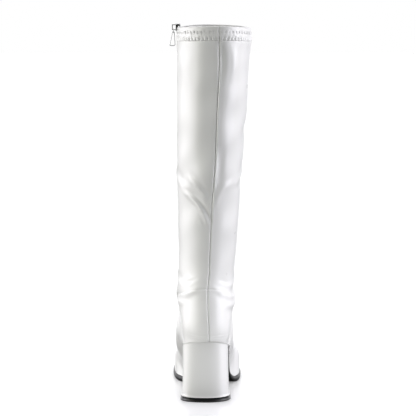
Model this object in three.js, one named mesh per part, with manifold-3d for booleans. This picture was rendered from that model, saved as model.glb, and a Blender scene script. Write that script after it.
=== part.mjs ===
// Tall smooth pull-up boot with a block heel and a zip up its inner side, right foot, standing empty.
// Millimetres. +Z is up, +Y runs to the toe, +X is the outer side, and the origin is the middle of the heel's floor face.

import * as THREE from "three";
import Module from "manifold-3d";

// Sizes of the foot
const FOOT_LENGTH = 236; // back of the heel to the toe tip
const BALL_WIDTH = 85; // widest span of the upper's lower edge
const HEEL_HEIGHT = 76; // floor to the upper's lower edge at the back
const INSTEP_HEIGHT = 129; // lower edge to the front of the ankle's bend
const ANKLE_HEIGHT = 82; // lower edge to the top of the back of the ankle
const TOE_SPRING = 12; // rise of the lower edge at the toe

// Sizes of the shaft
const BOOT_HEIGHT = 462.6; // floor to the rim at the back
const CALF_WIDTH = 92;
const CALF_DEPTH = 120;
const WALL = 1.5; // shaft and shoe part, lining included
const HEM_HEIGHT = 17; // folded band under the rim
const HEM_STEP = 1.1; // how far the band's lower edge stands out
const SEAM_UP = 65; // lower edge to the ankle seam, at the back
const SEAM_STEP = 0.9; // how far the shoe part stands out over the shaft
const BACK_SEAM_WIDTH = 1.4;
const BACK_SEAM_DEPTH = 0.5;

// Sizes of the bottom
const SOLE_THICKNESS = 7; // outsole, top face to floor
const SOLE_MARGIN = 1.5; // how far the outsole stands out past the upper
const INSOLE_THICKNESS = 2.4;
const INSOLE_INSET = 3.6; // from the upper's lower edge in, wall included
const HEEL_DEPTH = 55; // front to back of the heel's floor face
const HEEL_WIDTH = 58.6; // width of the heel's floor face
const HEEL_TOP_WIDTH = 56.4;
const TOP_PIECE_HEIGHT = 5.4;
const HEEL_LEAN = 4; // how far the heel's front face leans forward at the top
const HEEL_CORNER_INNER = 0.34; // length of the back corner, as a share of the heel's depth
const HEEL_CORNER_OUTER = 0.44;
const HEEL_CORNER_POWER = 2.3; // 2 is an ellipse, more is squarer

// Sizes of the zip
const ZIP_LENGTH = 348; // rim to the closed end, along the skin
const SLIT_WIDTH = 8.4;
const CHAIN_WIDTH = 5;
const TAPE_THICKNESS = 0.7;
const TAPE_SPLIT = 1.6; // space between the two tapes
const SLIDER_LENGTH = 9;
const SLIDER_WIDTH = 7.6;
const PLATE_THICKNESS = 1.1;
const WIRE = 0.9; // link and pull wire
const LINK_LENGTH = 4.6;
const LINK_WIDTH = 4.6;
const PULL_LENGTH = 17;
const PULL_WIDTH = 7;

const FIT = 0.3; // space left between curved pieces that meet
const SLEEVE = 21; // facets on each side of the upper
const HEEL_BACK = -HEEL_DEPTH / 2; // where the heel's floor face begins

// A table row as an object whose fields are the named columns.
function rowsOf(names, table) {
  const fields = names.split(" ");
  return table.map((row) => Object.fromEntries(fields.map((field, i) => [field, row[i]])));
}

// Shaft, rim first. up: share of the height over the ankle. The others: shares of calf depth (back, front),
// of calf width (seam, inner, outer), and of ankle height (drop of the row at its sides).
const SHAFT_ROWS = rowsOf("up back front seam inner outer drop", [
  [1.0, -0.025, 0.967, 0.18, -0.388, 0.604, 0.029],
  [0.942, -0.036, 0.971, 0.178, -0.386, 0.617, 0.027],
  [0.893, -0.042, 0.972, 0.178, -0.384, 0.602, 0.02],
  [0.821, -0.05, 0.968, 0.177, -0.386, 0.586, 0.0],
  [0.739, -0.057, 0.96, 0.165, -0.388, 0.573, 0.0],
  [0.647, -0.06, 0.947, 0.15, -0.388, 0.552, 0.0],
  [0.548, -0.055, 0.928, 0.138, -0.387, 0.526, 0.0],
  [0.45, -0.042, 0.908, 0.124, -0.388, 0.5, 0.0],
  [0.351, -0.023, 0.888, 0.1, -0.386, 0.474, 0.01],
  [0.263, -0.004, 0.872, 0.082, -0.375, 0.455, 0.037],
  [0.177, 0.013, 0.858, 0.067, -0.371, 0.438, 0.073],
  [0.105, 0.027, 0.848, 0.058, -0.369, 0.417, 0.11],
  [0.046, 0.033, 0.843, 0.049, -0.368, 0.393, 0.152],
]);

// Bend of the ankle. Shares of foot length (frontY, backY), instep height (frontUp), ankle height (backUp, drop),
// ball width (seam, inner, outer, innerHeel, outerHeel) and of the section's own length (the two rounds).
const ANKLE_ROWS = rowsOf(
  "frontY frontUp backY backUp seam inner outer innerHeel outerHeel frontRound backRound drop",
  [
    [0.428, 1.188, 0.017, 1.0, 0.048, -0.402, 0.413, -0.402, 0.413, 0.54, 0.46, 0.195],
    [0.432, 1.118, 0.013, 0.829, 0.033, -0.424, 0.416, -0.42, 0.415, 0.52, 0.45, 0.232],
    [0.436, 1.056, 0.004, 0.646, 0.03, -0.415, 0.428, -0.402, 0.42, 0.48, 0.41, 0.25],
    [0.445, 1.007, -0.011, 0.451, 0.035, -0.4, 0.41, -0.37, 0.388, 0.43, 0.35, 0.213],
    [0.46, 0.959, -0.017, 0.268, 0.045, -0.4, 0.4, -0.352, 0.366, 0.38, 0.29, 0.146],
    [0.475, 0.911, -0.013, 0.122, 0.048, -0.4, 0.395, -0.348, 0.362, 0.34, 0.255, 0.085],
    [0.492, 0.859, -0.004, -0.013, 0.05, -0.405, 0.394, -0.344, 0.358, 0.31, 0.24, 0.037],
  ],
);

// Instep to toe. Shares of foot length (topY, lowY), instep height (topUp), ball width (ridge, and how far the two
// sides stand out past the lower edge) and of the section's own length (the two rounds). lowUp: share of heel height.
const FOREFOOT_ROWS = rowsOf("topY topUp lowY lowUp ridge innerOut outerOut topRound lowRound", [
  [0.511, 0.806, 0.0, -0.184, -0.02, 0.075, 0.047, 0.285, 0.23],
  [0.532, 0.74, 0.0, -0.408, -0.03, 0.093, 0.055, 0.27, 0.21],
  [0.555, 0.671, 0.0, -0.711, -0.04, 0.124, 0.066, 0.26, 0.18],
  [0.581, 0.601, 0.034, -1.053, -0.048, 0.146, 0.08, 0.25, 0.16],
  [0.608, 0.535, 0.148, -1.158, -0.052, 0.153, 0.086, 0.27, 0.16],
  [0.638, 0.477, 0.275, -1.158, -0.055, 0.129, 0.074, 0.3, 0.16],
  [0.669, 0.426, 0.403, -1.158, -0.055, 0.091, 0.02, 0.34, 0.16],
  [0.703, 0.381, 0.517, -1.158, -0.052, 0.014, 0, 0.38, 0.17],
  [0.737, 0.344, 0.614, -1.158, -0.045, 0, 0, 0.43, 0.19],
  [0.775, 0.308, 0.699, -1.158, -0.038, 0.0, -0.004, 0.47, 0.22],
  [0.814, 0.276, 0.775, -1.158, -0.03, 0.0, -0.004, 0.5, 0.25],
  [0.852, 0.243, 0.839, -1.132, -0.024, -0.002, -0.004, 0.53, 0.27],
  [0.89, 0.208, 0.894, -1.105, -0.02, -0.003, -0.003, 0.55, 0.29],
  [0.924, 0.173, 0.932, -1.079, -0.018, -0.003, -0.003, 0.56, 0.3],
  [0.953, 0.139, 0.962, -1.039, -0.018, -0.003, -0.003, 0.55, 0.32],
  [0.975, 0.108, 0.981, -1.0, -0.018, -0.003, -0.003, 0.53, 0.35],
  [0.99, 0.078, 0.994, -0.947, -0.018, -0.003, -0.003, 0.5, 0.38],
  [0.9985, 0.039, 0.9985, -0.868, -0.018, 0.0, 0.0, 0.5, 0.4],
]);

// The upper's lower edge from above. along: share of foot length. The others: shares of ball width.
const OUTLINE = rowsOf("along inner outer", [
  [-0.004, -0.342, 0.354],
  [0.127, -0.343, 0.353],
  [0.19, -0.336, 0.35],
  [0.263, -0.318, 0.346],
  [0.322, -0.301, 0.344],
  [0.377, -0.294, 0.346],
  [0.41, -0.297, 0.353],
  [0.436, -0.308, 0.372],
  [0.462, -0.322, 0.402],
  [0.487, -0.343, 0.436],
  [0.52, -0.39, 0.475],
  [0.555, -0.43, 0.499],
  [0.59, -0.454, 0.512],
  [0.627, -0.469, 0.52],
  [0.678, -0.483, 0.522],
  [0.72, -0.485, 0.515],
  [0.784, -0.476, 0.494],
  [0.839, -0.459, 0.456],
  [0.881, -0.436, 0.414],
  [1.0, -0.345, 0.312],
]);
const HEEL_ROUND = 0.127; // length of the round at the back of the outline, as a share of foot length
const TOE_ROUND = 0.119; // length of the round at the toe
const HEEL_ROUND_POWER = 2.1;
const TOE_ROUND_POWER = 2.25;

// Height of the lower edge. fall: share of the drop from heel seat to ball. lift: share of the toe spring.
const FALL = rowsOf("along share", [
  [-0.1, 1.09],
  [0.0, 1.0],
  [0.055, 0.932],
  [0.106, 0.868],
  [0.17, 0.812],
  [0.233, 0.736],
  [0.297, 0.6],
  [0.33, 0.513],
  [0.36, 0.41],
  [0.4, 0.245],
  [0.42, 0.17],
  [0.445, 0.088],
  [0.475, 0.028],
  [0.5, 0.004],
  [0.52, 0.0],
  [1.1, 0.0],
]);
const LIFT = rowsOf("along share", [
  [-0.1, 0.0],
  [0.66, 0.0],
  [0.72, 0.05],
  [0.785, 0.2],
  [0.87, 0.49],
  [0.94, 0.78],
  [1.0, 1.0],
  [1.1, 1.4],
]);

// Where every piece under the foot has a cross line, as shares of foot length between the two rounds.
const WAIST_LINES = [0.16, 0.19, 0.215, 0.24, 0.265, 0.29, 0.315, 0.34, 0.365, 0.39, 0.415, 0.44];
const BALL_LINES = [0.465, 0.49, 0.52, 0.555, 0.605, 0.65, 0.7, 0.74, 0.78, 0.82, 0.855];
const ROUND_LINES = 7;

// Outsole's side from its top face down. down: share of its thickness. out: share of the margin past the upper.
const SOLE_SIDE = rowsOf("down out", [
  [0.0, 0.45],
  [0.2, 0.45],
  [0.24, 1.0],
  [0.86, 1.0],
  [1.0, 0.35],
]);
const WAIST_MARGIN = 0.35; // share of the margin that is left at the waist

const { Manifold, Mesh } = await readySolids();

async function readySolids() {
  const module = await Module();
  module.setup();
  return module;
}

// A curve through a table's points that never overshoots them.
function curveOf(rows, from, to) {
  const xs = rows.map((row) => row[from]);
  const ys = rows.map((row) => row[to]);
  const slopes = xs.slice(1).map((x, i) => (ys[i + 1] - ys[i]) / (x - xs[i]));
  const tangents = xs.map((_, i) => {
    if (i === 0) return slopes[0];
    if (i === xs.length - 1) return slopes[i - 1];
    if (slopes[i - 1] * slopes[i] <= 0) return 0;
    return (2 * slopes[i - 1] * slopes[i]) / (slopes[i - 1] + slopes[i]);
  });
  return (x) => {
    let i = 0;
    while (i < xs.length - 2 && x > xs[i + 1]) i += 1;
    const width = xs[i + 1] - xs[i];
    const t = THREE.MathUtils.clamp((x - xs[i]) / width, 0, 1);
    const start = ys[i] * (1 + 2 * t) * (1 - t) ** 2 + tangents[i] * width * t * (1 - t) ** 2;
    const end = ys[i + 1] * t * t * (3 - 2 * t) + tangents[i + 1] * width * t * t * (t - 1);
    return start + end;
  };
}

// Height share of a rounded end: 0 at its tip, 1 once the round is over.
function roundEnd(distance, power) {
  const left = 1 - THREE.MathUtils.clamp(distance, 0, 1);
  return (1 - left ** power) ** (1 / power);
}

function ease(from, to, x) {
  return THREE.MathUtils.smoothstep(x, from, to);
}

const fallAt = curveOf(FALL, "along", "share");
const liftAt = curveOf(LIFT, "along", "share");
const innerAt = curveOf(OUTLINE, "along", "inner");
const outerAt = curveOf(OUTLINE, "along", "outer");

// Height of the upper's lower edge at a place along the foot.
function edgeHeight(y) {
  const along = (y - HEEL_BACK) / FOOT_LENGTH;
  const drop = HEEL_HEIGHT - SOLE_THICKNESS;
  return SOLE_THICKNESS + fallAt(along) * drop + liftAt(along) * TOE_SPRING;
}

// The two sides of the upper's lower edge at a place along the foot.
function edgeSides(y) {
  const along = (y - HEEL_BACK) / FOOT_LENGTH;
  const heel = roundEnd((along - OUTLINE[0].along) / HEEL_ROUND, HEEL_ROUND_POWER);
  const toe = roundEnd((1 - along) / TOE_ROUND, TOE_ROUND_POWER);
  const inner = innerAt(along) * BALL_WIDTH;
  const outer = outerAt(along) * BALL_WIDTH;
  const middle = (inner + outer) / 2;
  return [middle + (inner - middle) * heel * toe, middle + (outer - middle) * heel * toe];
}

// One section of the upper: a line from its front (or top) to its back (or low) point and the shape around it.
function shaftSection(row) {
  const first = ankleSection(ANKLE_ROWS[0]);
  const middle = ((row.inner + row.outer) / 2) * CALF_WIDTH;
  const seam = row.seam * CALF_WIDTH;
  return {
    frontX: 2 * middle - seam,
    frontY: HEEL_BACK + row.front * CALF_DEPTH,
    frontZ: THREE.MathUtils.lerp(first.frontZ, BOOT_HEIGHT, row.up),
    backX: seam,
    backY: HEEL_BACK + row.back * CALF_DEPTH,
    backZ: THREE.MathUtils.lerp(first.backZ, BOOT_HEIGHT, row.up),
    inner: row.inner * CALF_WIDTH,
    outer: row.outer * CALF_WIDTH,
    innerLow: row.inner * CALF_WIDTH,
    outerLow: row.outer * CALF_WIDTH,
    turn: 0.8,
    frontRound: 0.54,
    backRound: 0.46,
    drop: row.drop * ANKLE_HEIGHT,
  };
}

function ankleSection(row) {
  const frontY = HEEL_BACK + row.frontY * FOOT_LENGTH;
  const seam = row.seam * BALL_WIDTH;
  return {
    frontX: (row.inner + row.outer) * BALL_WIDTH - seam,
    frontY,
    frontZ: edgeHeight(frontY) + row.frontUp * INSTEP_HEIGHT,
    backX: seam,
    backY: HEEL_BACK + row.backY * FOOT_LENGTH,
    backZ: HEEL_HEIGHT + row.backUp * ANKLE_HEIGHT,
    inner: row.inner * BALL_WIDTH,
    outer: row.outer * BALL_WIDTH,
    innerLow: row.innerHeel * BALL_WIDTH,
    outerLow: row.outerHeel * BALL_WIDTH,
    turn: 0.8,
    frontRound: row.frontRound,
    backRound: row.backRound,
    drop: row.drop * ANKLE_HEIGHT,
  };
}

function forefootSection(row) {
  const frontY = HEEL_BACK + row.topY * FOOT_LENGTH;
  const frontZ = edgeHeight(frontY) + row.topUp * INSTEP_HEIGHT;
  const backY = HEEL_BACK + row.lowY * FOOT_LENGTH;
  const backZ = HEEL_HEIGHT * (1 + row.lowUp);
  const turn = shareAtEdge(frontY, frontZ, backY, backZ);
  const [inner, outer] = edgeSides(THREE.MathUtils.lerp(frontY, backY, turn));
  return {
    frontX: row.ridge * BALL_WIDTH,
    frontY,
    frontZ,
    backX: (inner + outer) / 2,
    backY,
    backZ,
    inner: inner - row.innerOut * BALL_WIDTH,
    outer: outer + row.outerOut * BALL_WIDTH,
    innerLow: inner,
    outerLow: outer,
    turn,
    frontRound: row.topRound,
    backRound: row.lowRound,
    drop: 0,
  };
}

// How far down its line a section reaches the lower edge, as a share of the line.
function shareAtEdge(frontY, frontZ, backY, backZ) {
  let over = 0;
  let under = 1;
  for (let step = 0; step < 30; step += 1) {
    const share = (over + under) / 2;
    const height = THREE.MathUtils.lerp(frontZ, backZ, share);
    if (height > edgeHeight(THREE.MathUtils.lerp(frontY, backY, share))) over = share;
    else under = share;
  }
  return over;
}

const SECTIONS = [
  ...SHAFT_ROWS.map(shaftSection),
  ...ANKLE_ROWS.map(ankleSection),
  ...FOREFOOT_ROWS.map(forefootSection),
];
const LAST_SECTION = SECTIONS.length - 1;

// A section anywhere between two rows, on a smooth curve through its four neighbours.
function sectionAt(place) {
  const at = THREE.MathUtils.clamp(Math.floor(place), 0, LAST_SECTION - 1);
  const t = place - at;
  const [a, b, c, d] = [at - 1, at, at + 1, at + 2].map(
    (i) => SECTIONS[THREE.MathUtils.clamp(i, 0, LAST_SECTION)],
  );
  const section = {};
  for (const field of Object.keys(b)) {
    const bend = 2 * a[field] - 5 * b[field] + 4 * c[field] - d[field];
    const twist = 3 * (b[field] - c[field]) + d[field] - a[field];
    section[field] = b[field] + 0.5 * t * (c[field] - a[field] + t * (bend + t * twist));
  }
  return section;
}

// A point of the upper's skin. angle: 0 at the front or top, pi at the back or low end, above 0 on the inner side.
function skinPoint(place, angle) {
  const s = sectionAt(place);
  const innerSide = Math.sin(angle) > 0;
  const share = (1 - Math.cos(angle)) / 2;
  const blend = ease(0.3, Math.max(s.turn, 0.35), share);
  const middle = THREE.MathUtils.lerp(s.frontX, s.backX, share);
  const low = innerSide ? s.innerLow : s.outerLow;
  const high = innerSide ? s.inner : s.outer;
  const round = roundEnd(share / s.frontRound, 2) * roundEnd((1 - share) / s.backRound, 2);
  return new THREE.Vector3(
    middle + (THREE.MathUtils.lerp(high, low, blend) - middle) * round,
    THREE.MathUtils.lerp(s.frontY, s.backY, share),
    THREE.MathUtils.lerp(s.frontZ, s.backZ, share) - s.drop * Math.sin(Math.PI * share),
  );
}

function skinNormal(place, angle) {
  const low = Math.max(place - 0.05, 0);
  const high = Math.min(place + 0.05, LAST_SECTION);
  const along = skinPoint(high, angle).sub(skinPoint(low, angle));
  const around = skinPoint(place, angle + 0.03).sub(skinPoint(place, angle - 0.03));
  return along.cross(around).normalize();
}

// The place of the row whose back point has a given height.
function placeAtHeight(height) {
  let high = 0;
  let low = SHAFT_ROWS.length + ANKLE_ROWS.length - 1;
  for (let step = 0; step < 40; step += 1) {
    const middle = (high + low) / 2;
    if (sectionAt(middle).backZ > height) high = middle;
    else low = middle;
  }
  return low;
}

const HEM_PLACE = placeAtHeight(BOOT_HEIGHT - HEM_HEIGHT);
const SEAM_PLACE = placeAtHeight(HEEL_HEIGHT + SEAM_UP);
const STEP_LENGTH = 0.02; // length of the two steps, in rows
const SEAM_FADE = 5; // rows over which the shoe part's thickness fades into the skin

// How far the outside stands out over the skin: the hem band and the shoe part's edge.
function standOut(place) {
  if (place <= HEM_PLACE) return HEM_STEP * ease(-0.6, 1, place / HEM_PLACE);
  if (place <= SEAM_PLACE) return 0;
  return SEAM_STEP * (1 - ease(0, SEAM_FADE, place - SEAM_PLACE));
}

// The places that have a row of the mesh: every section, except those beside a step, and both ends of each step.
function meshPlaces() {
  const places = [];
  for (let place = 0; place <= LAST_SECTION; place += 1) {
    const beside = [HEM_PLACE, SEAM_PLACE].some((step) => Math.abs(place - step) < 0.3);
    if (!beside) places.push(place);
  }
  places.push(HEM_PLACE, HEM_PLACE + STEP_LENGTH, SEAM_PLACE, SEAM_PLACE + STEP_LENGTH);
  return places.sort((a, b) => a - b);
}

const PLACES = meshPlaces();

// The upper's columns run from the front down the inner side to the back and up the outer side.
function columnAngle(column) {
  return (column * Math.PI) / SLEEVE;
}

// One closed row of the skin, moved out (or in, below 0) along its normals.
function skinLoop(place, out) {
  const loop = [];
  for (let column = 0; column < 2 * SLEEVE; column += 1) {
    const angle = columnAngle(column);
    loop.push(skinPoint(place, angle).addScaledVector(skinNormal(place, angle), out));
  }
  return loop;
}

// A closed solid through a list of closed loops that all have the same number of points.
// The ends are closed by joining each point with the one across from it.
function loft(loops) {
  const count = loops[0].length;
  const last = (loops.length - 1) * count;
  const triangles = [];
  for (let i = 0; i + 1 < loops.length; i += 1) {
    for (let j = 0; j < count; j += 1) {
      const a = i * count + j;
      const b = i * count + ((j + 1) % count);
      triangles.push(a, b, a + count, b, b + count, a + count);
    }
  }
  let low = 0;
  let high = count - 1;
  while (high - low > 1) {
    triangles.push(low, high, low + 1, last + low, last + low + 1, last + high);
    low += 1;
    if (high - low < 2) break;
    triangles.push(low, high, high - 1, last + low, last + high - 1, last + high);
    high -= 1;
  }
  const points = loops.flat().flatMap((point) => point.toArray());
  const made = solidFrom(points, triangles);
  return made.volume() > 0 ? made : solidFrom(points, reversed(triangles));
}

function reversed(triangles) {
  const turned = [];
  for (let i = 0; i < triangles.length; i += 3) {
    turned.push(triangles[i], triangles[i + 2], triangles[i + 1]);
  }
  return turned;
}

function solidFrom(points, triangles) {
  return new Manifold(
    new Mesh({
      numProp: 3,
      vertProperties: new Float32Array(points),
      triVerts: new Uint32Array(triangles),
    }),
  );
}

// The upper's zip runs down the middle of this column of facets.
const ZIP_COLUMN = Math.round(SLEEVE * 0.52);

// The point, the direction across and the outward direction of the zip at a row of the mesh.
function zipFrameAtRow(place) {
  const front = skinPoint(place, columnAngle(ZIP_COLUMN));
  const back = skinPoint(place, columnAngle(ZIP_COLUMN + 1));
  const out = skinNormal(place, columnAngle(ZIP_COLUMN + 0.5));
  const across = back.clone().sub(front);
  const width = across.length();
  across.normalize();
  out.addScaledVector(across, -out.dot(across)).normalize();
  return { centre: front.lerp(back, 0.5), across, out, width };
}

// Frames of the zip from the rim to a given length down the skin, one at each row of the mesh and one at the end.
function zipFrames(length) {
  const frames = [zipFrameAtRow(0)];
  let run = 0;
  for (const place of PLACES.filter((p) => p > 0 && !onStep(p))) {
    const last = frames[frames.length - 1];
    const next = zipFrameAtRow(place);
    const step = next.centre.distanceTo(last.centre);
    if (run + step >= length) {
      const share = (length - run) / step;
      frames.push({
        centre: last.centre.clone().lerp(next.centre, share),
        across: last.across.clone().lerp(next.across, share).normalize(),
        out: last.out.clone().lerp(next.out, share).normalize(),
        width: THREE.MathUtils.lerp(last.width, next.width, share),
      });
      return frames;
    }
    run += step;
    frames.push(next);
  }
  return frames;
}

function onStep(place) {
  return [HEM_PLACE, SEAM_PLACE].some((step) => Math.abs(place - step - STEP_LENGTH) < STEP_LENGTH / 2);
}

function inFrame(frame, across, out) {
  return frame.centre.clone().addScaledVector(frame.across, across).addScaledVector(frame.out, out);
}

// A solid with the same cross-section at every frame. outline: pairs of across and out.
function strip(frames, outline) {
  return loft(frames.map((frame) => outline.map(([across, out]) => inFrame(frame, across, out))));
}

function lifted(frame, height) {
  return { ...frame, centre: frame.centre.clone().add(new THREE.Vector3(0, 0, height)) };
}

function rectangle(left, right, low, high) {
  return [
    [left, low],
    [left, high],
    [right, high],
    [right, low],
  ];
}

const LOWER_LINES = lowerLines();

// Every place along the foot at which the pieces under it have a cross line.
function lowerLines() {
  const lines = [];
  const start = HEEL_BACK + OUTLINE[0].along * FOOT_LENGTH;
  const end = HEEL_BACK + FOOT_LENGTH;
  for (let i = 0; i < ROUND_LINES; i += 1) {
    const bend = 1 - Math.cos((i / ROUND_LINES) * (Math.PI / 2));
    lines.push(start + bend * HEEL_ROUND * FOOT_LENGTH);
    lines.push(end - bend * TOE_ROUND * FOOT_LENGTH);
  }
  const between = [HEEL_ROUND + OUTLINE[0].along, ...WAIST_LINES, ...BALL_LINES, 1 - TOE_ROUND];
  lines.push(...between.map((along) => HEEL_BACK + along * FOOT_LENGTH));
  return lines.sort((a, b) => a - b);
}

// Everything under a surface that follows the lower edge, lifted by a given height.
function underEdge(lift) {
  const reach = 2 * BALL_WIDTH;
  const floor = -HEEL_HEIGHT;
  const ends = [HEEL_BACK - 40, HEEL_BACK + FOOT_LENGTH + 20];
  const lines = [ends[0], ...LOWER_LINES, ends[1]];
  const side = (x) => [
    ...lines.map((y) => new THREE.Vector3(x, y, edgeHeight(y) + lift)),
    ...lines.map((y) => new THREE.Vector3(x, y, floor)).reverse(),
  ];
  return loft([side(-reach), side(reach)]);
}

// The closed outline of the lower edge between two places, from its back down the inner side to the toe and back.
function edgeLoop(from, to) {
  const lines = [from, ...LOWER_LINES.filter((y) => y > from + 0.5 && y < to - 0.5), to];
  const inner = [];
  const outer = [];
  for (const y of lines) {
    const [left, right] = edgeSides(y);
    inner.push(new THREE.Vector2(left, y));
    if (right - left > 0.01) outer.push(new THREE.Vector2(right, y));
  }
  return [...inner, ...outer.reverse()];
}

// The same outline moved out by a given distance at each point (or in, below 0).
function moved(outline, distanceAt) {
  const count = outline.length;
  return outline.map((point, i) => {
    const before = outline[(i + count - 1) % count];
    const after = outline[(i + 1) % count];
    const along = after.clone().sub(before).normalize();
    const out = new THREE.Vector2(-along.y, along.x);
    return point.clone().addScaledVector(out, distanceAt(point));
  });
}

function atEdge(outline, lift) {
  return outline.map((point) => new THREE.Vector3(point.x, point.y, edgeHeight(point.y) + lift));
}

function makeUpper() {
  const outside = PLACES.map((place) => skinLoop(place, standOut(place)));
  const inside = PLACES.filter((place) => !onStep(place)).map((place) => skinLoop(place, -WALL));
  const above = inside[0].map((point) => point.clone().setZ(point.z + 3 * WALL));
  const shell = loft(outside).subtract(loft([above, ...inside]));
  return shell.subtract(underEdge(FIT)).subtract(makeSlit()).subtract(makeBackSeam());
}

function makeSlit() {
  const frames = zipFrames(ZIP_LENGTH);
  const reach = 4 * WALL;
  return strip([lifted(frames[0], reach), ...frames], rectangle(-SLIT_WIDTH / 2, SLIT_WIDTH / 2, -reach, reach));
}

// A shallow groove down the whole of the back.
function makeBackSeam() {
  const half = BACK_SEAM_WIDTH / 2;
  const reach = 3 * WALL;
  const shape = [
    [0, -BACK_SEAM_DEPTH],
    [-half, 0],
    [-half, reach],
    [half, reach],
    [half, 0],
  ];
  const lastPlace = SHAFT_ROWS.length + ANKLE_ROWS.length - 1;
  const frames = PLACES.filter((place) => place <= lastPlace).map((place) => {
    const out = skinNormal(place, Math.PI);
    const centre = skinPoint(place, Math.PI).addScaledVector(out, standOut(place));
    return { centre, across: new THREE.Vector3(1, 0, 0), out };
  });
  return strip([lifted(frames[0], reach), ...frames], shape);
}

function makeInsole() {
  const loop = edgeLoop(LOWER_LINES[0], HEEL_BACK + FOOT_LENGTH);
  const inset = moved(loop, () => -INSOLE_INSET);
  return loft([atEdge(inset, FIT), atEdge(inset, FIT + INSOLE_THICKNESS)]);
}

// The sole begins at the heel's front face, where the breast of the heel leans forward.
const BREAST = HEEL_BACK + HEEL_DEPTH + HEEL_LEAN;

function makeOutsole() {
  const loop = edgeLoop(BREAST + FIT, HEEL_BACK + FOOT_LENGTH);
  const ball = HEEL_BACK + 0.55 * FOOT_LENGTH;
  const margin = (point) => THREE.MathUtils.lerp(WAIST_MARGIN, 1, ease(BREAST, ball, point.y)) * SOLE_MARGIN;
  const layers = SOLE_SIDE.map((row) => {
    const outline = moved(loop, (point) => margin(point) * row.out);
    for (const point of outline) point.y = Math.max(point.y, BREAST + FIT);
    return atEdge(outline, -row.down * SOLE_THICKNESS);
  });
  return loft(layers);
}

// One side of the heel's outline: a round back corner and a straight side that ends at its front face.
function heelSide(back, front, width, round) {
  const half = width / 2;
  const corner = (front - back) * round;
  const points = [];
  for (let i = 0; i <= 9; i += 1) {
    const turn = (i / 9) * (Math.PI / 2);
    const x = half * Math.sin(turn) ** (2 / HEEL_CORNER_POWER);
    const y = back + corner * (1 - Math.cos(turn) ** (2 / HEEL_CORNER_POWER));
    points.push([x, y]);
  }
  for (const share of [0.25, 0.5, 0.75, 1]) {
    points.push([half * (1 - 0.02 * share), THREE.MathUtils.lerp(back + corner, front, share)]);
  }
  return points;
}

function heelLoop(back, front, width) {
  const outer = heelSide(back, front, width, HEEL_CORNER_OUTER).map(([x, y]) => new THREE.Vector2(x, y));
  const inner = heelSide(back, front, width, HEEL_CORNER_INNER).map(([x, y]) => new THREE.Vector2(-x, y));
  return [...outer, ...inner.slice(1).reverse()];
}

function makeHeel() {
  const top = heelLoop(HEEL_BACK + 0.4, BREAST, HEEL_TOP_WIDTH);
  const foot = heelLoop(HEEL_BACK, HEEL_BACK + HEEL_DEPTH, HEEL_WIDTH);
  const layers = [0, 0.25, 0.5, 0.75, 1].map((share) =>
    foot.map((low, i) => {
      const high = top[i];
      const narrow = 1 - 0.012 * Math.sin(Math.PI * share);
      const x = THREE.MathUtils.lerp(low.x, high.x, share) * narrow;
      const y = THREE.MathUtils.lerp(low.y, high.y, share);
      return new THREE.Vector3(x, y, THREE.MathUtils.lerp(TOP_PIECE_HEIGHT, edgeHeight(high.y), share));
    }),
  );
  return loft(layers);
}

function makeTopPiece() {
  const loop = heelLoop(HEEL_BACK, HEEL_BACK + HEEL_DEPTH, HEEL_WIDTH);
  const flat = (z, inset) =>
    moved(loop, () => inset).map((point) => new THREE.Vector3(point.x, point.y, z));
  return loft([flat(0, 0.6), flat(0.6, 0), flat(TOP_PIECE_HEIGHT, 0)]);
}

// One half of the zip's tape, behind the upper's wall, that follows its facets. side: -1 to the toe, 1 to the heel.
function makeTape(side) {
  const frames = zipFrames(ZIP_LENGTH + 6);
  const near = -(WALL + FIT);
  const far = near - TAPE_THICKNESS;
  return loft(frames.map((frame) => tapeLoop(frame, side, near, far)));
}

function tapeLoop(frame, side, near, far) {
  const half = frame.width / 2;
  const bend = (Math.PI / SLEEVE) * 0.9;
  const reach = 5;
  const turned = frame.across
    .clone()
    .multiplyScalar(side * Math.cos(bend))
    .addScaledVector(frame.out, -Math.sin(bend));
  const edge = (out) => inFrame(frame, side * half, out).addScaledVector(turned, reach);
  const start = (side * TAPE_SPLIT) / 2;
  return [
    inFrame(frame, start, near),
    inFrame(frame, side * half, near),
    edge(near),
    edge(far),
    inFrame(frame, side * half, far),
    inFrame(frame, start, far),
  ];
}

// The closed row of teeth: it fills the slit to the skin's own face and ends under the slider.
function makeChain() {
  const frames = zipFrames(ZIP_LENGTH - 3);
  const half = CHAIN_WIDTH / 2;
  const low = -(WALL + FIT) + 0.05;
  const groove = 0.5;
  const shape = [
    [-half, low],
    [-half, -groove],
    [-half + groove, 0],
    [-groove, 0],
    [0, -groove],
    [groove, 0],
    [half - groove, 0],
    [half, -groove],
    [half, low],
    [0, low],
  ];
  const start = zipFrames(SLIDER_LENGTH / 2 + FIT);
  return strip([start[start.length - 1], ...frames.slice(1)], shape);
}

// Shapes of the slider, drawn at the rim with across to the heel, out from the skin and up along the zip.
const SLIDER_FRAME = zipFrameAtRow(0);
SLIDER_FRAME.up = new THREE.Vector3().crossVectors(SLIDER_FRAME.out, SLIDER_FRAME.across).normalize();
if (SLIDER_FRAME.up.z < 0) SLIDER_FRAME.up.negate();

function atSlider(across, out, up) {
  return inFrame(SLIDER_FRAME, across, out).addScaledVector(SLIDER_FRAME.up, up);
}

// A flat plate or bar: its outline as pairs of across and up, between two distances from the skin.
function plate(outline, low, high) {
  const layer = (out) => outline.map(([across, up]) => atSlider(across, out, up));
  return loft([layer(low), layer(high)]);
}

function block(left, right, bottom, top, low, high) {
  return plate(rectangle(left, right, bottom, top), low, high);
}

function shield(half, bottom, top) {
  const cut = 1.4;
  return [
    [-half * 0.72, bottom],
    [-half, bottom + cut],
    [-half, top - cut],
    [-half + cut, top],
    [half - cut, top],
    [half, top - cut],
    [half, bottom + cut],
    [half * 0.72, bottom],
  ];
}

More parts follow.
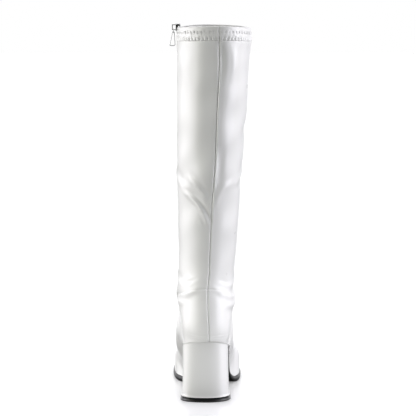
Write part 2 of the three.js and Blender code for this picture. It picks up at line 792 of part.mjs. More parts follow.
const PLATE_LOW = 0.45; // space between the teeth and the slider's outer plate
const PLATE_HIGH = PLATE_LOW + PLATE_THICKNESS;
const CROWN_WINDOW = 3.6; // height of the hole for the link

function makeSlider() {
  const half = SLIDER_WIDTH / 2;
  const bottom = -SLIDER_LENGTH / 2;
  const top = SLIDER_LENGTH / 2;
  const tapeBack = -(WALL + FIT + TAPE_THICKNESS);
  const backPlate = tapeBack - 0.5;
  const flange = 0.7;
  const post = TAPE_SPLIT / 2 - 0.3;
  const sunk = 0.1;
  const arm = 0.9;
  const crownTop = PLATE_HIGH + CROWN_WINDOW;
  const pieces = [
    plate(shield(half, bottom, top), PLATE_LOW, PLATE_HIGH),
    block(-half, -half + flange, bottom + 1.5, top - 1.5, -1.3, PLATE_LOW + sunk),
    block(half - flange, half, bottom + 1.5, top - 1.5, -1.3, PLATE_LOW + sunk),
    block(-post, post, 1.5, top - 0.5, backPlate - sunk, PLATE_LOW + sunk),
    plate(shield(half - 0.4, bottom, top), backPlate - PLATE_THICKNESS, backPlate),
    block(-1, 1, -2.6 - arm, -2.6, PLATE_HIGH - sunk, crownTop + sunk),
    block(-1, 1, 2.6, 2.6 + arm, PLATE_HIGH - sunk, crownTop + sunk),
    block(-1, 1, -2.6 - arm, 2.6 + arm, crownTop, crownTop + arm),
  ];
  return pieces.reduce((whole, piece) => whole.add(piece));
}

// The link hangs from the crown: its upper bar is the axis of the first hinge and its lower bar that of the second.
const LINK_OUT = PLATE_HIGH + CROWN_WINDOW - WIRE / 2 - 0.2;
const LINK_UP = -2.6 + WIRE / 2 + 0.2;

// A closed wire through a list of points, each with the direction that its cross-section keeps.
function wire(points, steady, radius, sides) {
  const count = points.length;
  const rings = points.map((point, i) => {
    const along = points[(i + 1) % count].clone().sub(points[(i + count - 1) % count]).normalize();
    const side = new THREE.Vector3().crossVectors(along, steady).normalize();
    const ring = [];
    for (let k = 0; k < sides; k += 1) {
      const turn = (2 * Math.PI * (k + 0.5)) / sides;
      ring.push(
        point
          .clone()
          .addScaledVector(side, radius * Math.cos(turn))
          .addScaledVector(steady, radius * Math.sin(turn)),
      );
    }
    return ring;
  });
  const triangles = [];
  for (let i = 0; i < count; i += 1) {
    for (let k = 0; k < sides; k += 1) {
      const a = i * sides + k;
      const b = i * sides + ((k + 1) % sides);
      const c = ((i + 1) % count) * sides + k;
      const d = ((i + 1) % count) * sides + ((k + 1) % sides);
      triangles.push(a, b, c, b, d, c);
    }
  }
  const values = rings.flat().flatMap((point) => point.toArray());
  const made = solidFrom(values, triangles);
  return made.volume() > 0 ? made : solidFrom(values, reversed(triangles));
}

function makeLink() {
  const half = LINK_WIDTH / 2 - WIRE / 2;
  const corner = 0.5;
  const low = LINK_UP - LINK_LENGTH;
  const outline = [
    [-half + corner, LINK_UP],
    [half - corner, LINK_UP],
    [half, LINK_UP - corner],
    [half, low + corner],
    [half - corner, low],
    [-half + corner, low],
    [-half, low + corner],
    [-half, LINK_UP - corner],
  ];
  const points = outline.map(([across, up]) => atSlider(across, LINK_OUT, up));
  return wire(points, SLIDER_FRAME.out, WIRE / 2, 8);
}

// The pull: an open loop that hangs from the link's lower bar, narrow at the top and wide at the bottom.
function makePull() {
  const top = LINK_UP - LINK_LENGTH;
  const eye = WIRE + 0.25;
  const length = PULL_LENGTH - eye;
  const outer = PULL_WIDTH * 0.66;
  const inner = -PULL_WIDTH * 0.34;
  const outline = [
    [-eye, 0],
    [-eye * 0.7, eye * 0.75],
    [0, eye],
    [eye * 0.7, eye * 0.75],
    [eye, 0],
    [outer - 0.6, -length + 2.2],
    [outer - 0.5, -length + 0.9],
    [outer - 1.6, -length],
    [inner + 1.6, -length],
    [inner + 0.4, -length + 0.9],
    [inner + 0.3, -length + 2.2],
  ];
  const points = outline.map(([out, down]) =>
    atSlider(0, LINK_OUT, top)
      .addScaledVector(new THREE.Vector3(-1, 0, 0), out)
      .addScaledVector(new THREE.Vector3(0, 0, 1), down),
  );
  return wire(points, new THREE.Vector3(0, 1, 0), WIRE / 2, 8);
}

const COATED = { color: 0xf2f2f2, roughness: 0.25, metalness: 0 };
const BLACK_RUBBER = { color: 0x17181a, roughness: 0.45, metalness: 0 };
const LINING = { color: 0xd8d4cc, roughness: 0.8, metalness: 0 };
const CLOTH = { color: 0xe9e9e9, roughness: 0.85, metalness: 0 };
const METAL = { color: 0xb9bcc0, roughness: 0.3, metalness: 1 };

const root = new THREE.Group();

function addPiece(name, solid, look) {
  const mesh = solid.getMesh();
  const geometry = new THREE.BufferGeometry();
  geometry.setAttribute("position", new THREE.BufferAttribute(mesh.vertProperties, 3));
  geometry.setIndex(new THREE.BufferAttribute(mesh.triVerts, 1));
  geometry.computeVertexNormals();
  const piece = new THREE.Mesh(geometry, new THREE.MeshStandardMaterial(look));
  piece.name = name;
  root.add(piece);
}

addPiece("upper", makeUpper(), COATED);
addPiece("insole", makeInsole(), LINING);
addPiece("outsole", makeOutsole(), BLACK_RUBBER);
addPiece("heel", makeHeel(), COATED);
addPiece("top_piece", makeTopPiece(), BLACK_RUBBER);
addPiece("zip_tape_front", makeTape(-1), CLOTH);
addPiece("zip_tape_rear", makeTape(1), CLOTH);
addPiece("zip_chain", makeChain(), CLOTH);
addPiece("zip_slider", makeSlider(), METAL);
addPiece("zip_link", makeLink(), METAL);
addPiece("zip_pull", makePull(), METAL);

export default root;
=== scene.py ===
import math
import bpy
import bmesh
import numpy as np
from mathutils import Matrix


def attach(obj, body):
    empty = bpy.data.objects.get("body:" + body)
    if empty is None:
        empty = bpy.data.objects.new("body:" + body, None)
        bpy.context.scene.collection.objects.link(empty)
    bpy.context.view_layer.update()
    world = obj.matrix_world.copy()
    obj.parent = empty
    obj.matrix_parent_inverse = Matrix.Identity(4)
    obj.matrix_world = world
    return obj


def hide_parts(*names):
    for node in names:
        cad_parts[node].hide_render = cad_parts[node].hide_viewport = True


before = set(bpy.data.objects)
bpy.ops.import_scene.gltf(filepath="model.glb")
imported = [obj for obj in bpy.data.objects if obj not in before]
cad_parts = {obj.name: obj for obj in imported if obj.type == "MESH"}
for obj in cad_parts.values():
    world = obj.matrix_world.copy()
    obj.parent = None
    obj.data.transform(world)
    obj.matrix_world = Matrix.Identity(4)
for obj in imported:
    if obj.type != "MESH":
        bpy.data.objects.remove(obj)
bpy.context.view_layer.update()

MM = 0.001

# Main sizes in millimetres, the same as the solid model's
FOOT_LENGTH = 236.0
BALL_WIDTH = 85.0
HEEL_HEIGHT = 76.0
INSTEP_HEIGHT = 129.0
ANKLE_HEIGHT = 82.0
TOE_SPRING = 12.0
BOOT_HEIGHT = 462.6
CALF_WIDTH = 92.0
CALF_DEPTH = 120.0
WALL = 1.5
HEM_HEIGHT = 17.0
HEM_STEP = 1.1
SEAM_UP = 65.0
SEAM_STEP = 0.9
SOLE_THICKNESS = 7.0
SOLE_MARGIN = 1.5
WAIST_MARGIN = 0.35
INSOLE_THICKNESS = 2.4
INSOLE_INSET = 3.6
HEEL_DEPTH = 55.0
HEEL_WIDTH = 58.6
HEEL_TOP_WIDTH = 56.4
TOP_PIECE_HEIGHT = 5.4
HEEL_LEAN = 4.0
HEEL_CORNER_INNER = 0.34
HEEL_CORNER_OUTER = 0.44
HEEL_CORNER_POWER = 2.3
ZIP_LENGTH = 348.0
SLIT_WIDTH = 8.4
FIT = 0.3
HEEL_BACK = -HEEL_DEPTH / 2
BREAST = HEEL_BACK + HEEL_DEPTH + HEEL_LEAN

# Shaft, rim first: up, back, front, seam, inner, outer, drop
SHAFT_ROWS = (
    (1, -0.025, 0.967, 0.18, -0.388, 0.604, 0.029),
    (0.942, -0.036, 0.971, 0.178, -0.386, 0.617, 0.027),
    (0.893, -0.042, 0.972, 0.178, -0.384, 0.602, 0.02),
    (0.821, -0.05, 0.968, 0.177, -0.386, 0.586, 0),
    (0.739, -0.057, 0.96, 0.165, -0.388, 0.573, 0),
    (0.647, -0.06, 0.947, 0.15, -0.388, 0.552, 0),
    (0.548, -0.055, 0.928, 0.138, -0.387, 0.526, 0),
    (0.45, -0.042, 0.908, 0.124, -0.388, 0.5, 0),
    (0.351, -0.023, 0.888, 0.1, -0.386, 0.474, 0.01),
    (0.263, -0.004, 0.872, 0.082, -0.375, 0.455, 0.037),
    (0.177, 0.013, 0.858, 0.067, -0.371, 0.438, 0.073),
    (0.105, 0.027, 0.848, 0.058, -0.369, 0.417, 0.11),
    (0.046, 0.033, 0.843, 0.049, -0.368, 0.393, 0.152),
)
# Bend of the ankle: frontY, frontUp, backY, backUp, seam, inner, outer, innerHeel, outerHeel, rounds, drop
ANKLE_ROWS = (
    (0.428, 1.188, 0.017, 1, 0.048, -0.402, 0.413, -0.402, 0.413, 0.54, 0.46, 0.195),
    (0.432, 1.118, 0.013, 0.829, 0.033, -0.424, 0.416, -0.42, 0.415, 0.52, 0.45, 0.232),
    (0.436, 1.056, 0.004, 0.646, 0.03, -0.415, 0.428, -0.402, 0.42, 0.48, 0.41, 0.25),
    (0.445, 1.007, -0.011, 0.451, 0.035, -0.4, 0.41, -0.37, 0.388, 0.43, 0.35, 0.213),
    (0.46, 0.959, -0.017, 0.268, 0.045, -0.4, 0.4, -0.352, 0.366, 0.38, 0.29, 0.146),
    (0.475, 0.911, -0.013, 0.122, 0.048, -0.4, 0.395, -0.348, 0.362, 0.34, 0.255, 0.085),
    (0.492, 0.859, -0.004, -0.013, 0.05, -0.405, 0.394, -0.344, 0.358, 0.31, 0.24, 0.037),
)
# Instep to toe: topY, topUp, lowY, lowUp, ridge, innerOut, outerOut, rounds
FOREFOOT_ROWS = (
    (0.511, 0.806, 0, -0.184, -0.02, 0.075, 0.047, 0.285, 0.23),
    (0.532, 0.74, 0, -0.408, -0.03, 0.093, 0.055, 0.27, 0.21),
    (0.555, 0.671, 0, -0.711, -0.04, 0.124, 0.066, 0.26, 0.18),
    (0.581, 0.601, 0.034, -1.053, -0.048, 0.146, 0.08, 0.25, 0.16),
    (0.608, 0.535, 0.148, -1.158, -0.052, 0.153, 0.086, 0.27, 0.16),
    (0.638, 0.477, 0.275, -1.158, -0.055, 0.129, 0.074, 0.3, 0.16),
    (0.669, 0.426, 0.403, -1.158, -0.055, 0.091, 0.02, 0.34, 0.16),
    (0.703, 0.381, 0.517, -1.158, -0.052, 0.014, 0, 0.38, 0.17),
    (0.737, 0.344, 0.614, -1.158, -0.045, 0, 0, 0.43, 0.19),
    (0.775, 0.308, 0.699, -1.158, -0.038, 0, -0.004, 0.47, 0.22),
    (0.814, 0.276, 0.775, -1.158, -0.03, 0, -0.004, 0.5, 0.25),
    (0.852, 0.243, 0.839, -1.132, -0.024, -0.002, -0.004, 0.53, 0.27),
    (0.89, 0.208, 0.894, -1.105, -0.02, -0.003, -0.003, 0.55, 0.29),
    (0.924, 0.173, 0.932, -1.079, -0.018, -0.003, -0.003, 0.56, 0.3),
    (0.953, 0.139, 0.962, -1.039, -0.018, -0.003, -0.003, 0.55, 0.32),
    (0.975, 0.108, 0.981, -1, -0.018, -0.003, -0.003, 0.53, 0.35),
    (0.99, 0.078, 0.994, -0.947, -0.018, -0.003, -0.003, 0.5, 0.38),
    (0.9985, 0.039, 0.9985, -0.868, -0.018, 0, 0, 0.5, 0.4),
)
# The upper's lower edge from above: along, inner, outer
OUTLINE = (
    (-0.004, -0.342, 0.354), (0.127, -0.343, 0.353), (0.19, -0.336, 0.35), (0.263, -0.318, 0.346),
    (0.322, -0.301, 0.344), (0.377, -0.294, 0.346), (0.41, -0.297, 0.353), (0.436, -0.308, 0.372),
    (0.462, -0.322, 0.402), (0.487, -0.343, 0.436), (0.52, -0.39, 0.475), (0.555, -0.43, 0.499),
    (0.59, -0.454, 0.512), (0.627, -0.469, 0.52), (0.678, -0.483, 0.522), (0.72, -0.485, 0.515),
    (0.784, -0.476, 0.494), (0.839, -0.459, 0.456), (0.881, -0.436, 0.414), (1, -0.345, 0.312),
)
# Drop of the lower edge from heel seat to ball: along, share
FALL = (
    (-0.1, 1.09), (0, 1), (0.055, 0.932), (0.106, 0.868), (0.17, 0.812),
    (0.233, 0.736), (0.297, 0.6), (0.33, 0.513), (0.36, 0.41), (0.4, 0.245),
    (0.42, 0.17), (0.445, 0.088), (0.475, 0.028), (0.5, 0.004), (0.52, 0),
    (1.1, 0),
)
# Rise of the lower edge at the toe: along, share
LIFT = (
    (-0.1, 0), (0.66, 0), (0.72, 0.05), (0.785, 0.2), (0.87, 0.49),
    (0.94, 0.78), (1, 1), (1.1, 1.4),
)
HEEL_ROUND, HEEL_ROUND_POWER = 0.127, 2.1
TOE_ROUND, TOE_ROUND_POWER = 0.119, 2.25


def curve_of(rows, column):
    """A curve through a table's points that never overshoots them."""
    xs = np.array([row[0] for row in rows])
    ys = np.array([row[column] for row in rows])
    width = np.diff(xs)
    slope = np.diff(ys) / width
    tangent = np.zeros(len(xs))
    tangent[0], tangent[-1] = slope[0], slope[-1]
    turns = slope[:-1] * slope[1:] <= 0
    both = np.where(turns, 1.0, slope[:-1] + slope[1:])
    tangent[1:-1] = np.where(turns, 0.0, 2 * slope[:-1] * slope[1:] / both)

    def at(x):
        i = np.clip(np.searchsorted(xs, x) - 1, 0, len(width) - 1)
        t = np.clip((x - xs[i]) / width[i], 0, 1)
        start = ys[i] * (1 + 2 * t) * (1 - t) ** 2 + tangent[i] * width[i] * t * (1 - t) ** 2
        return start + ys[i + 1] * t * t * (3 - 2 * t) + tangent[i + 1] * width[i] * t * t * (t - 1)

    return at


def ease(low, high, x):
    t = np.clip((x - low) / (high - low), 0, 1)
    return t * t * (3 - 2 * t)


def round_end(distance, power):
    left = 1 - np.clip(distance, 0, 1)
    return (1 - left**power) ** (1 / power)


def mix(a, b, t):
    return a + (b - a) * t


def spline(a, b, c, d, t):
    """A smooth curve from b to c, with a before them and d after."""
    return b + 0.5 * t * (c - a + t * (2 * a - 5 * b + 4 * c - d + t * (3 * (b - c) + d - a)))


def lengths_along(line):
    """Length from a line's first point to each of its points."""
    return np.concatenate([[0], np.cumsum(np.linalg.norm(np.diff(line, axis=0), axis=1))])


fall_at, lift_at = curve_of(FALL, 1), curve_of(LIFT, 1)
inner_at, outer_at = curve_of(OUTLINE, 1), curve_of(OUTLINE, 2)


def edge_height(y):
    along = (np.asarray(y, float) - HEEL_BACK) / FOOT_LENGTH
    return SOLE_THICKNESS + fall_at(along) * (HEEL_HEIGHT - SOLE_THICKNESS) + lift_at(along) * TOE_SPRING


def edge_sides(y):
    along = (np.asarray(y, float) - HEEL_BACK) / FOOT_LENGTH
    ends = round_end((along - OUTLINE[0][0]) / HEEL_ROUND, HEEL_ROUND_POWER)
    ends = ends * round_end((1 - along) / TOE_ROUND, TOE_ROUND_POWER)
    inner, outer = inner_at(along) * BALL_WIDTH, outer_at(along) * BALL_WIDTH
    middle = (inner + outer) / 2
    return middle + (inner - middle) * ends, middle + (outer - middle) * ends


SIDE_TURN = 0.8  # share of a shaft section, from its front, where its side has gone over to the width at the heel
SHAFT_ROUNDS = (0.54, 0.46)  # lengths of the front and the back round, as shares of the section


def ankle_section(row):
    fy, fup, by, bup, seam, inner, outer, inner_heel, outer_heel, fround, bround, drop = row
    front_y = HEEL_BACK + fy * FOOT_LENGTH
    return [
        (inner + outer - seam) * BALL_WIDTH, front_y, edge_height(front_y) + fup * INSTEP_HEIGHT,
        seam * BALL_WIDTH, HEEL_BACK + by * FOOT_LENGTH, HEEL_HEIGHT + bup * ANKLE_HEIGHT,
        inner * BALL_WIDTH, outer * BALL_WIDTH, inner_heel * BALL_WIDTH, outer_heel * BALL_WIDTH,
        SIDE_TURN, fround, bround, drop * ANKLE_HEIGHT,
    ]


def shaft_section(row):
    up, back, front, seam, inner, outer, drop = row
    first = ankle_section(ANKLE_ROWS[0])
    return [
        (inner + outer - seam) * CALF_WIDTH, HEEL_BACK + front * CALF_DEPTH, mix(first[2], BOOT_HEIGHT, up),
        seam * CALF_WIDTH, HEEL_BACK + back * CALF_DEPTH, mix(first[5], BOOT_HEIGHT, up),
        inner * CALF_WIDTH, outer * CALF_WIDTH, inner * CALF_WIDTH, outer * CALF_WIDTH,
        SIDE_TURN, *SHAFT_ROUNDS, drop * ANKLE_HEIGHT,
    ]


def forefoot_section(row):
    top_y, top_up, low_y, low_up, ridge, inner_out, outer_out, top_round, low_round = row
    fy, by = HEEL_BACK + top_y * FOOT_LENGTH, HEEL_BACK + low_y * FOOT_LENGTH
    fz, bz = edge_height(fy) + top_up * INSTEP_HEIGHT, HEEL_HEIGHT * (1 + low_up)
    over, under = 0.0, 1.0
    for _ in range(30):
        share = (over + under) / 2
        if mix(fz, bz, share) > edge_height(mix(fy, by, share)):
            over = share
        else:
            under = share
    inner, outer = (float(v) for v in edge_sides(mix(fy, by, over)))
    return [
        ridge * BALL_WIDTH, fy, fz, (inner + outer) / 2, by, bz,
        inner - inner_out * BALL_WIDTH, outer + outer_out * BALL_WIDTH, inner, outer,
        over, top_round, low_round, 0.0,
    ]


SECTIONS = np.array(
    [shaft_section(row) for row in SHAFT_ROWS]
    + [ankle_section(row) for row in ANKLE_ROWS]
    + [forefoot_section(row) for row in FOREFOOT_ROWS],
    float,
)
LAST = len(SECTIONS) - 1


def section_at(place):
    at = np.clip(np.floor(place), 0, LAST - 1).astype(int)
    t = (place - at)[..., None]
    a, b, c, d = (SECTIONS[np.clip(at + k, 0, LAST)] for k in (-1, 0, 1, 2))
    return spline(a, b, c, d, t)


def skin(place, angle):
    """Points of the upper's skin. angle: 0 at the front or top, pi at the back, above 0 on the inner side."""
    place, angle = np.broadcast_arrays(np.asarray(place, float), np.asarray(angle, float))
    s = np.moveaxis(section_at(place), -1, 0)
    fx, fy, fz, bx, by, bz, inner, outer, inner_low, outer_low, turn, fround, bround, drop = s
    inner_side = np.sin(angle) > 0
    share = (1 - np.cos(angle)) / 2
    blend = ease(0.3, np.maximum(turn, 0.35), share)
    middle = mix(fx, bx, share)
    low = np.where(inner_side, inner_low, outer_low)
    high = np.where(inner_side, inner, outer)
    around = round_end(share / fround, 2) * round_end((1 - share) / bround, 2)
    x = middle + (mix(high, low, blend) - middle) * around
    return np.stack([x, mix(fy, by, share), mix(fz, bz, share) - drop * np.sin(np.pi * share)], -1)


def unit(v):
    return v / np.maximum(np.linalg.norm(v, axis=-1, keepdims=True), 1e-9)


def skin_normal(place, angle):
    place = np.asarray(place, float)
    along = skin(np.minimum(place + 0.05, LAST), angle) - skin(np.maximum(place - 0.05, 0), angle)
    around = skin(place, angle + 0.03) - skin(place, angle - 0.03)
    return unit(np.cross(along, around))


def place_at_height(height):
    high, low = 0.0, float(len(SHAFT_ROWS) + len(ANKLE_ROWS) - 1)
    for _ in range(40):
        middle = (high + low) / 2
        if section_at(np.array(middle))[5] > height:
            high = middle
        else:
            low = middle
    return low


HEM_PLACE = place_at_height(BOOT_HEIGHT - HEM_HEIGHT)
SEAM_PLACE = place_at_height(HEEL_HEIGHT + SEAM_UP)
STEP_LENGTH = 0.02  # the mesh has two more rows within this past the hem and past the ankle seam
SEAM_FADE = 5.0
RIM_START = -0.6  # where the hem band would begin to stand out, over the rim, as a share of its own height
RIM_THICKNESS = WALL + float(HEM_STEP * ease(RIM_START, 1, 0.0))


# The zip runs down one line of constant angle
ZIP_ANGLE = 11.5 * math.pi / 21


def zip_run():
    """Places down the zip and the length run from the rim at each."""
    places = np.linspace(0, 20, 2001)
    return places, lengths_along(skin(places, ZIP_ANGLE))


RUN_PLACES, RUN_LENGTHS = zip_run()
ZIP_END = float(np.interp(ZIP_LENGTH, RUN_LENGTHS, RUN_PLACES))


def slit_half_angle(place):
    """Half the slit's width as an angle."""
    here = np.minimum(place, ZIP_END)
    speed = np.linalg.norm(skin(here, ZIP_ANGLE + 0.02) - skin(here, ZIP_ANGLE - 0.02), axis=-1) / 0.04
    return SLIT_WIDTH / 2 / speed


def end_angle(place):
    """The angle at which a row reaches the lower edge; pi where it stays above it."""
    place = np.asarray(place, float)
    over, under = np.full(place.shape, 0.25), np.ones(place.shape)

    def above(share):
        p = skin(place, np.arccos(1 - 2 * share))
        return p[..., 2] - edge_height(p[..., 1]) - FIT

    whole = above(under) > 0
    for _ in range(40):
        share = (over + under) / 2
        up = above(share) > 0
        over, under = np.where(up, share, over), np.where(up, under, share)
    return np.where(whole, math.pi, np.arccos(1 - 2 * over))


def placed(name, data):
    """A new object in the scene."""
    thing = bpy.data.objects.new(name, data)
    bpy.context.scene.collection.objects.link(thing)
    return thing


def new_piece(name, points, faces, material, body="boot", smooth=True):
    """A mesh object from points in millimetres."""
    mesh = bpy.data.meshes.new(name)
    faces = [tuple(int(i) for i in face) for face in faces]
    mesh.from_pydata((np.asarray(points, float) * MM).tolist(), [], faces)
    mesh.validate()
    for polygon in mesh.polygons:
        polygon.use_smooth = smooth
    mesh.materials.append(material)
    piece = placed(name, mesh)
    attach(piece, body)
    return piece


def tidy_mesh(piece, distance, outward=True):
    """Merges doubled points and turns all faces the same way."""
    work = bmesh.new()
    work.from_mesh(piece.data)
    bmesh.ops.remove_doubles(work, verts=work.verts, dist=distance * MM)
    if outward:
        bmesh.ops.recalc_face_normals(work, faces=work.faces)
    work.to_mesh(piece.data)
    work.free()


def grid_faces(rows, columns, start=0, closed=False):
    """Faces of a grid of rows by columns points, as an array of quads."""
    r = np.arange(rows - 1)[:, None]
    c = np.arange(columns if closed else columns - 1)[None, :]
    n = (c + 1) % columns
    quads = np.stack([r * columns + c, r * columns + n, (r + 1) * columns + n, (r + 1) * columns + c], -1)
    return quads.reshape(-1, 4) + start


def smooth_noise(x, y, seed, size):
    """Soft uneven height between about -1 and 1, from a few long waves."""
    waves = np.random.RandomState(seed)
    total = np.zeros(np.shape(x))
    for _ in range(9):
        angle = waves.uniform(0, 2 * math.pi)
        length = size * waves.uniform(0.6, 1.8)
        across = x * math.cos(angle) + y * math.sin(angle)
        total = total + np.sin(across * 2 * math.pi / length + waves.uniform(0, 6.28))
    return total / 4.5


def line_distance(points, line):
    """Signed distance of plane points from a polyline, and the share along it. Above 0 is left of the line."""
    best = np.full(points.shape[:-1], 1e9)
    side = np.zeros(best.shape)
    along = np.zeros(best.shape)
    line = np.asarray(line, float)
    before = lengths_along(line)
    for i, length in enumerate(np.linalg.norm(np.diff(line, axis=0), axis=1)):
        a, way = line[i], (line[i + 1] - line[i]) / length
        rel = points - a
        t = np.clip(rel @ way, 0, length)
        off = rel - t[..., None] * way
        distance = np.linalg.norm(off, axis=-1)
        nearer = distance < best
        best = np.where(nearer, distance, best)
        side = np.where(nearer, np.sign(way[0] * off[..., 1] - way[1] * off[..., 0]), side)
        along = np.where(nearer, (before[i] + t) / before[-1], along)
    return best * side, along


def smooth_line(line, steps=6):
    """A polyline through the same points with soft corners."""
    line = np.asarray(line, float)
    padded = np.vstack([2 * line[0] - line[1], line, 2 * line[-1] - line[-2]])
    out = []
    for i in range(1, len(padded) - 2):
        for t in np.arange(steps) / steps:
            a, b, c, d = padded[i - 1 : i + 3]
            out.append(spline(a, b, c, d, t))
    return np.array(out + [line[-1]])


def set_inputs(node, values):
    for name, value in values.items():
        node.inputs[name].default_value = value


def add_node(tree, kind, values):
    """A shader node with its inputs set by name."""
    node = tree.nodes.new(kind)
    set_inputs(node, values)
    return node


def smooth_range(tree, low, high, top=1.0):
    """A node that rises softly from 0 to the top between two values."""
    node = add_node(tree, "ShaderNodeMapRange", {"From Min": low, "From Max": high, "To Max": top})
    node.interpolation_type = "SMOOTHSTEP"
    return node


def vector_math(tree, operation, number, value):
    """A vector node with one of its inputs set."""
    node = tree.nodes.new("ShaderNodeVectorMath")
    node.operation = operation
    node.inputs[number].default_value = value
    return node


def principled(name, color, roughness, coat=(0.0, 0.1), metallic=0.0, specular=0.5):
    """A new material. coat: its weight and roughness."""
    material = bpy.data.materials.new(name)
    material.use_nodes = True
    shader = material.node_tree.nodes["Principled BSDF"]
    set_inputs(shader, {"Base Color": (*color, 1.0), "Roughness": roughness, "Metallic": metallic})
    set_inputs(shader, {"Coat Weight": coat[0], "Coat Roughness": coat[1], "Specular IOR Level": specular})
    return material, material.node_tree, shader


def texture_node(tree, kind, **values):
    """A texture on the object's own coordinates, with its inputs set by name."""
    texture = add_node(tree, kind, values)
    tree.links.new(tree.nodes.new("ShaderNodeTexCoord").outputs["Object"], texture.inputs["Vector"])
    return texture


def noise(tree, scale, detail=2.0):
    return texture_node(tree, "ShaderNodeTexNoise", Scale=scale, Detail=detail, Roughness=0.5).outputs["Fac"]


def cells(tree, scale):
    return texture_node(tree, "ShaderNodeTexVoronoi", Scale=scale).outputs["Distance"]


def weave(tree, scale):
    """Two crossed sets of fine waves."""
    product = tree.nodes.new("ShaderNodeMath")
    product.operation = "MULTIPLY"
    for direction, socket in zip(("X", "Z"), product.inputs):
        wave = texture_node(tree, "ShaderNodeTexWave", Scale=scale, Distortion=0.6)
        wave.bands_direction = direction
        tree.links.new(wave.outputs["Fac"], socket)
    return product.outputs[0]


def uneven_gloss(tree, low, high, pattern):
    """Roughness that wanders between two values."""
    spread = add_node(tree, "ShaderNodeMapRange", {"To Min": low, "To Max": high})
    tree.links.new(pattern, spread.inputs["Value"])
    tree.links.new(spread.outputs["Result"], tree.nodes["Principled BSDF"].inputs["Roughness"])


def finish(name, color, roughness, pattern, scale, strength, depth, coat=(0.0, 0.1)):
    """A material with a fine relief. depth: in metres."""
    material, tree, shader = principled(name, color, roughness, coat)
    bump = add_node(tree, "ShaderNodeBump", {"Strength": strength, "Distance": depth})
    tree.links.new(pattern(tree, scale), bump.inputs["Height"])
    tree.links.new(bump.outputs["Normal"], shader.inputs["Normal"])
    if coat[0] > 0:
        tree.links.new(bump.outputs["Normal"], shader.inputs["Coat Normal"])
    return material


def fine_noise(tree, scale):
    return noise(tree, scale, 1.0)


COATED = finish("coated_white", (0.925, 0.925, 0.92), 0.3, cells, 1100, 0.05, 0.0003, (0.5, 0.12))
uneven_gloss(COATED.node_tree, 0.24, 0.36, noise(COATED.node_tree, 45, 3.0))
HEEL_COVER = finish("heel_cover", (0.92, 0.92, 0.915), 0.28, cells, 1100, 0.04, 0.0003, (0.5, 0.1))
LINING = finish("lining", (0.84, 0.82, 0.78), 0.85, weave, 900, 0.3, 0.0004)
SOLE_RUBBER = finish("black_rubber", (0.012, 0.012, 0.013), 0.34, noise, 900, 0.08, 0.0003, (0.12, 0.2))
ZIP_TAPE = finish("zip_tape", (0.88, 0.88, 0.88), 0.85, weave, 1400, 0.35, 0.0004)
ZIP_TEETH = finish("zip_teeth", (0.9, 0.9, 0.9), 0.35, fine_noise, 1500, 0.05, 0.0002)
# The thread is white; its colour is set a little greyer than the upper as painted shade, for the shadow in the
# stitch marks
THREAD = finish("thread", (0.86, 0.86, 0.855), 0.6, fine_noise, 2500, 0.2, 0.0002)
BRIGHT_METAL, METAL_TREE, _ = principled("bright_metal", (0.5, 0.505, 0.51), 0.16, metallic=1.0)
uneven_gloss(METAL_TREE, 0.12, 0.22, noise(METAL_TREE, 600))


def upper_rows():
    """Places of the upper's mesh rows: close where it creases, closest where it first meets the lower edge."""
    low, high = 17.0, 21.0
    for _ in range(40):
        first_cut = (low + high) / 2
        whole = end_angle(np.array([first_cut]))[0] >= math.pi
        low, high = (first_cut, high) if whole else (low, first_cut)
    rows = [np.linspace(0, 1.2, 20), np.linspace(1.2, 8, 90), np.linspace(8, 13, 84)]
    rows += [np.linspace(13, 17, 62), np.linspace(17, first_cut, 22)]
    rows += [first_cut + 1.6 * np.linspace(0, 1, 40) ** 2, np.linspace(first_cut + 1.6, LAST, 90)]
    for seam in (HEM_PLACE, SEAM_PLACE):
        rows += [np.array([seam - 0.02, seam, seam + STEP_LENGTH / 2, seam + STEP_LENGTH])]
    rows += [np.array([ZIP_END, ZIP_END + 0.02])]
    places = np.unique(np.round(np.concatenate(rows), 5))
    keep = np.concatenate([[True], np.diff(places) > 0.004])
    return places[keep]


ZIP_COLUMNS = 3
# Steps of angle by which the columns close up on the back seam
SEAM_STEPS = np.array([0.103, 0.076, 0.054, 0.038, 0.026, 0.017, 0.011, 0.006, 0.0])


def spread_to_seam(count, whole):
    """Shares of a span of angle, even at first and close together at its end on the back seam."""
    near = 1 - SEAM_STEPS / whole
    return np.concatenate([np.linspace(0, near[0], count + 2 - len(SEAM_STEPS))[:-1], near])


def upper_angles(places, front, rear, outer):
    """Angles of every row's points, with a column on each edge of the zip's slit."""
    ends = end_angle(places)
    half = np.where(places <= ZIP_END + 0.001, slit_half_angle(places), slit_half_angle(np.array(ZIP_END)))
    scale = (ends / math.pi)[:, None]
    one, two = (ZIP_ANGLE - half)[:, None] * scale, (ZIP_ANGLE + half)[:, None] * scale
    spread = np.linspace(0, 1, front + 1)[None, :]
    left = one * spread
    middle = mix(one, two, np.linspace(0, 1, ZIP_COLUMNS + 1)[None, 1:])
    right = mix(two, ends[:, None], spread_to_seam(rear, math.pi - ZIP_ANGLE)[None, 1:])
    other = -ends[:, None] * spread_to_seam(outer, math.pi)[None, ::-1][:, :-1]
    return np.concatenate([other, left, middle, right], axis=1)


# Sides that creases are seen from
BACK, FRONT, INNER, OUTER = "back", "front", "inner", "outer"
# The trough beside a crease's ridge: how far away, how wide and how deep, as shares of the ridge's own sizes
TROUGH_AWAY, TROUGH_WIDTH, TROUGH_DEPTH = 1.5, 1.2, 0.7


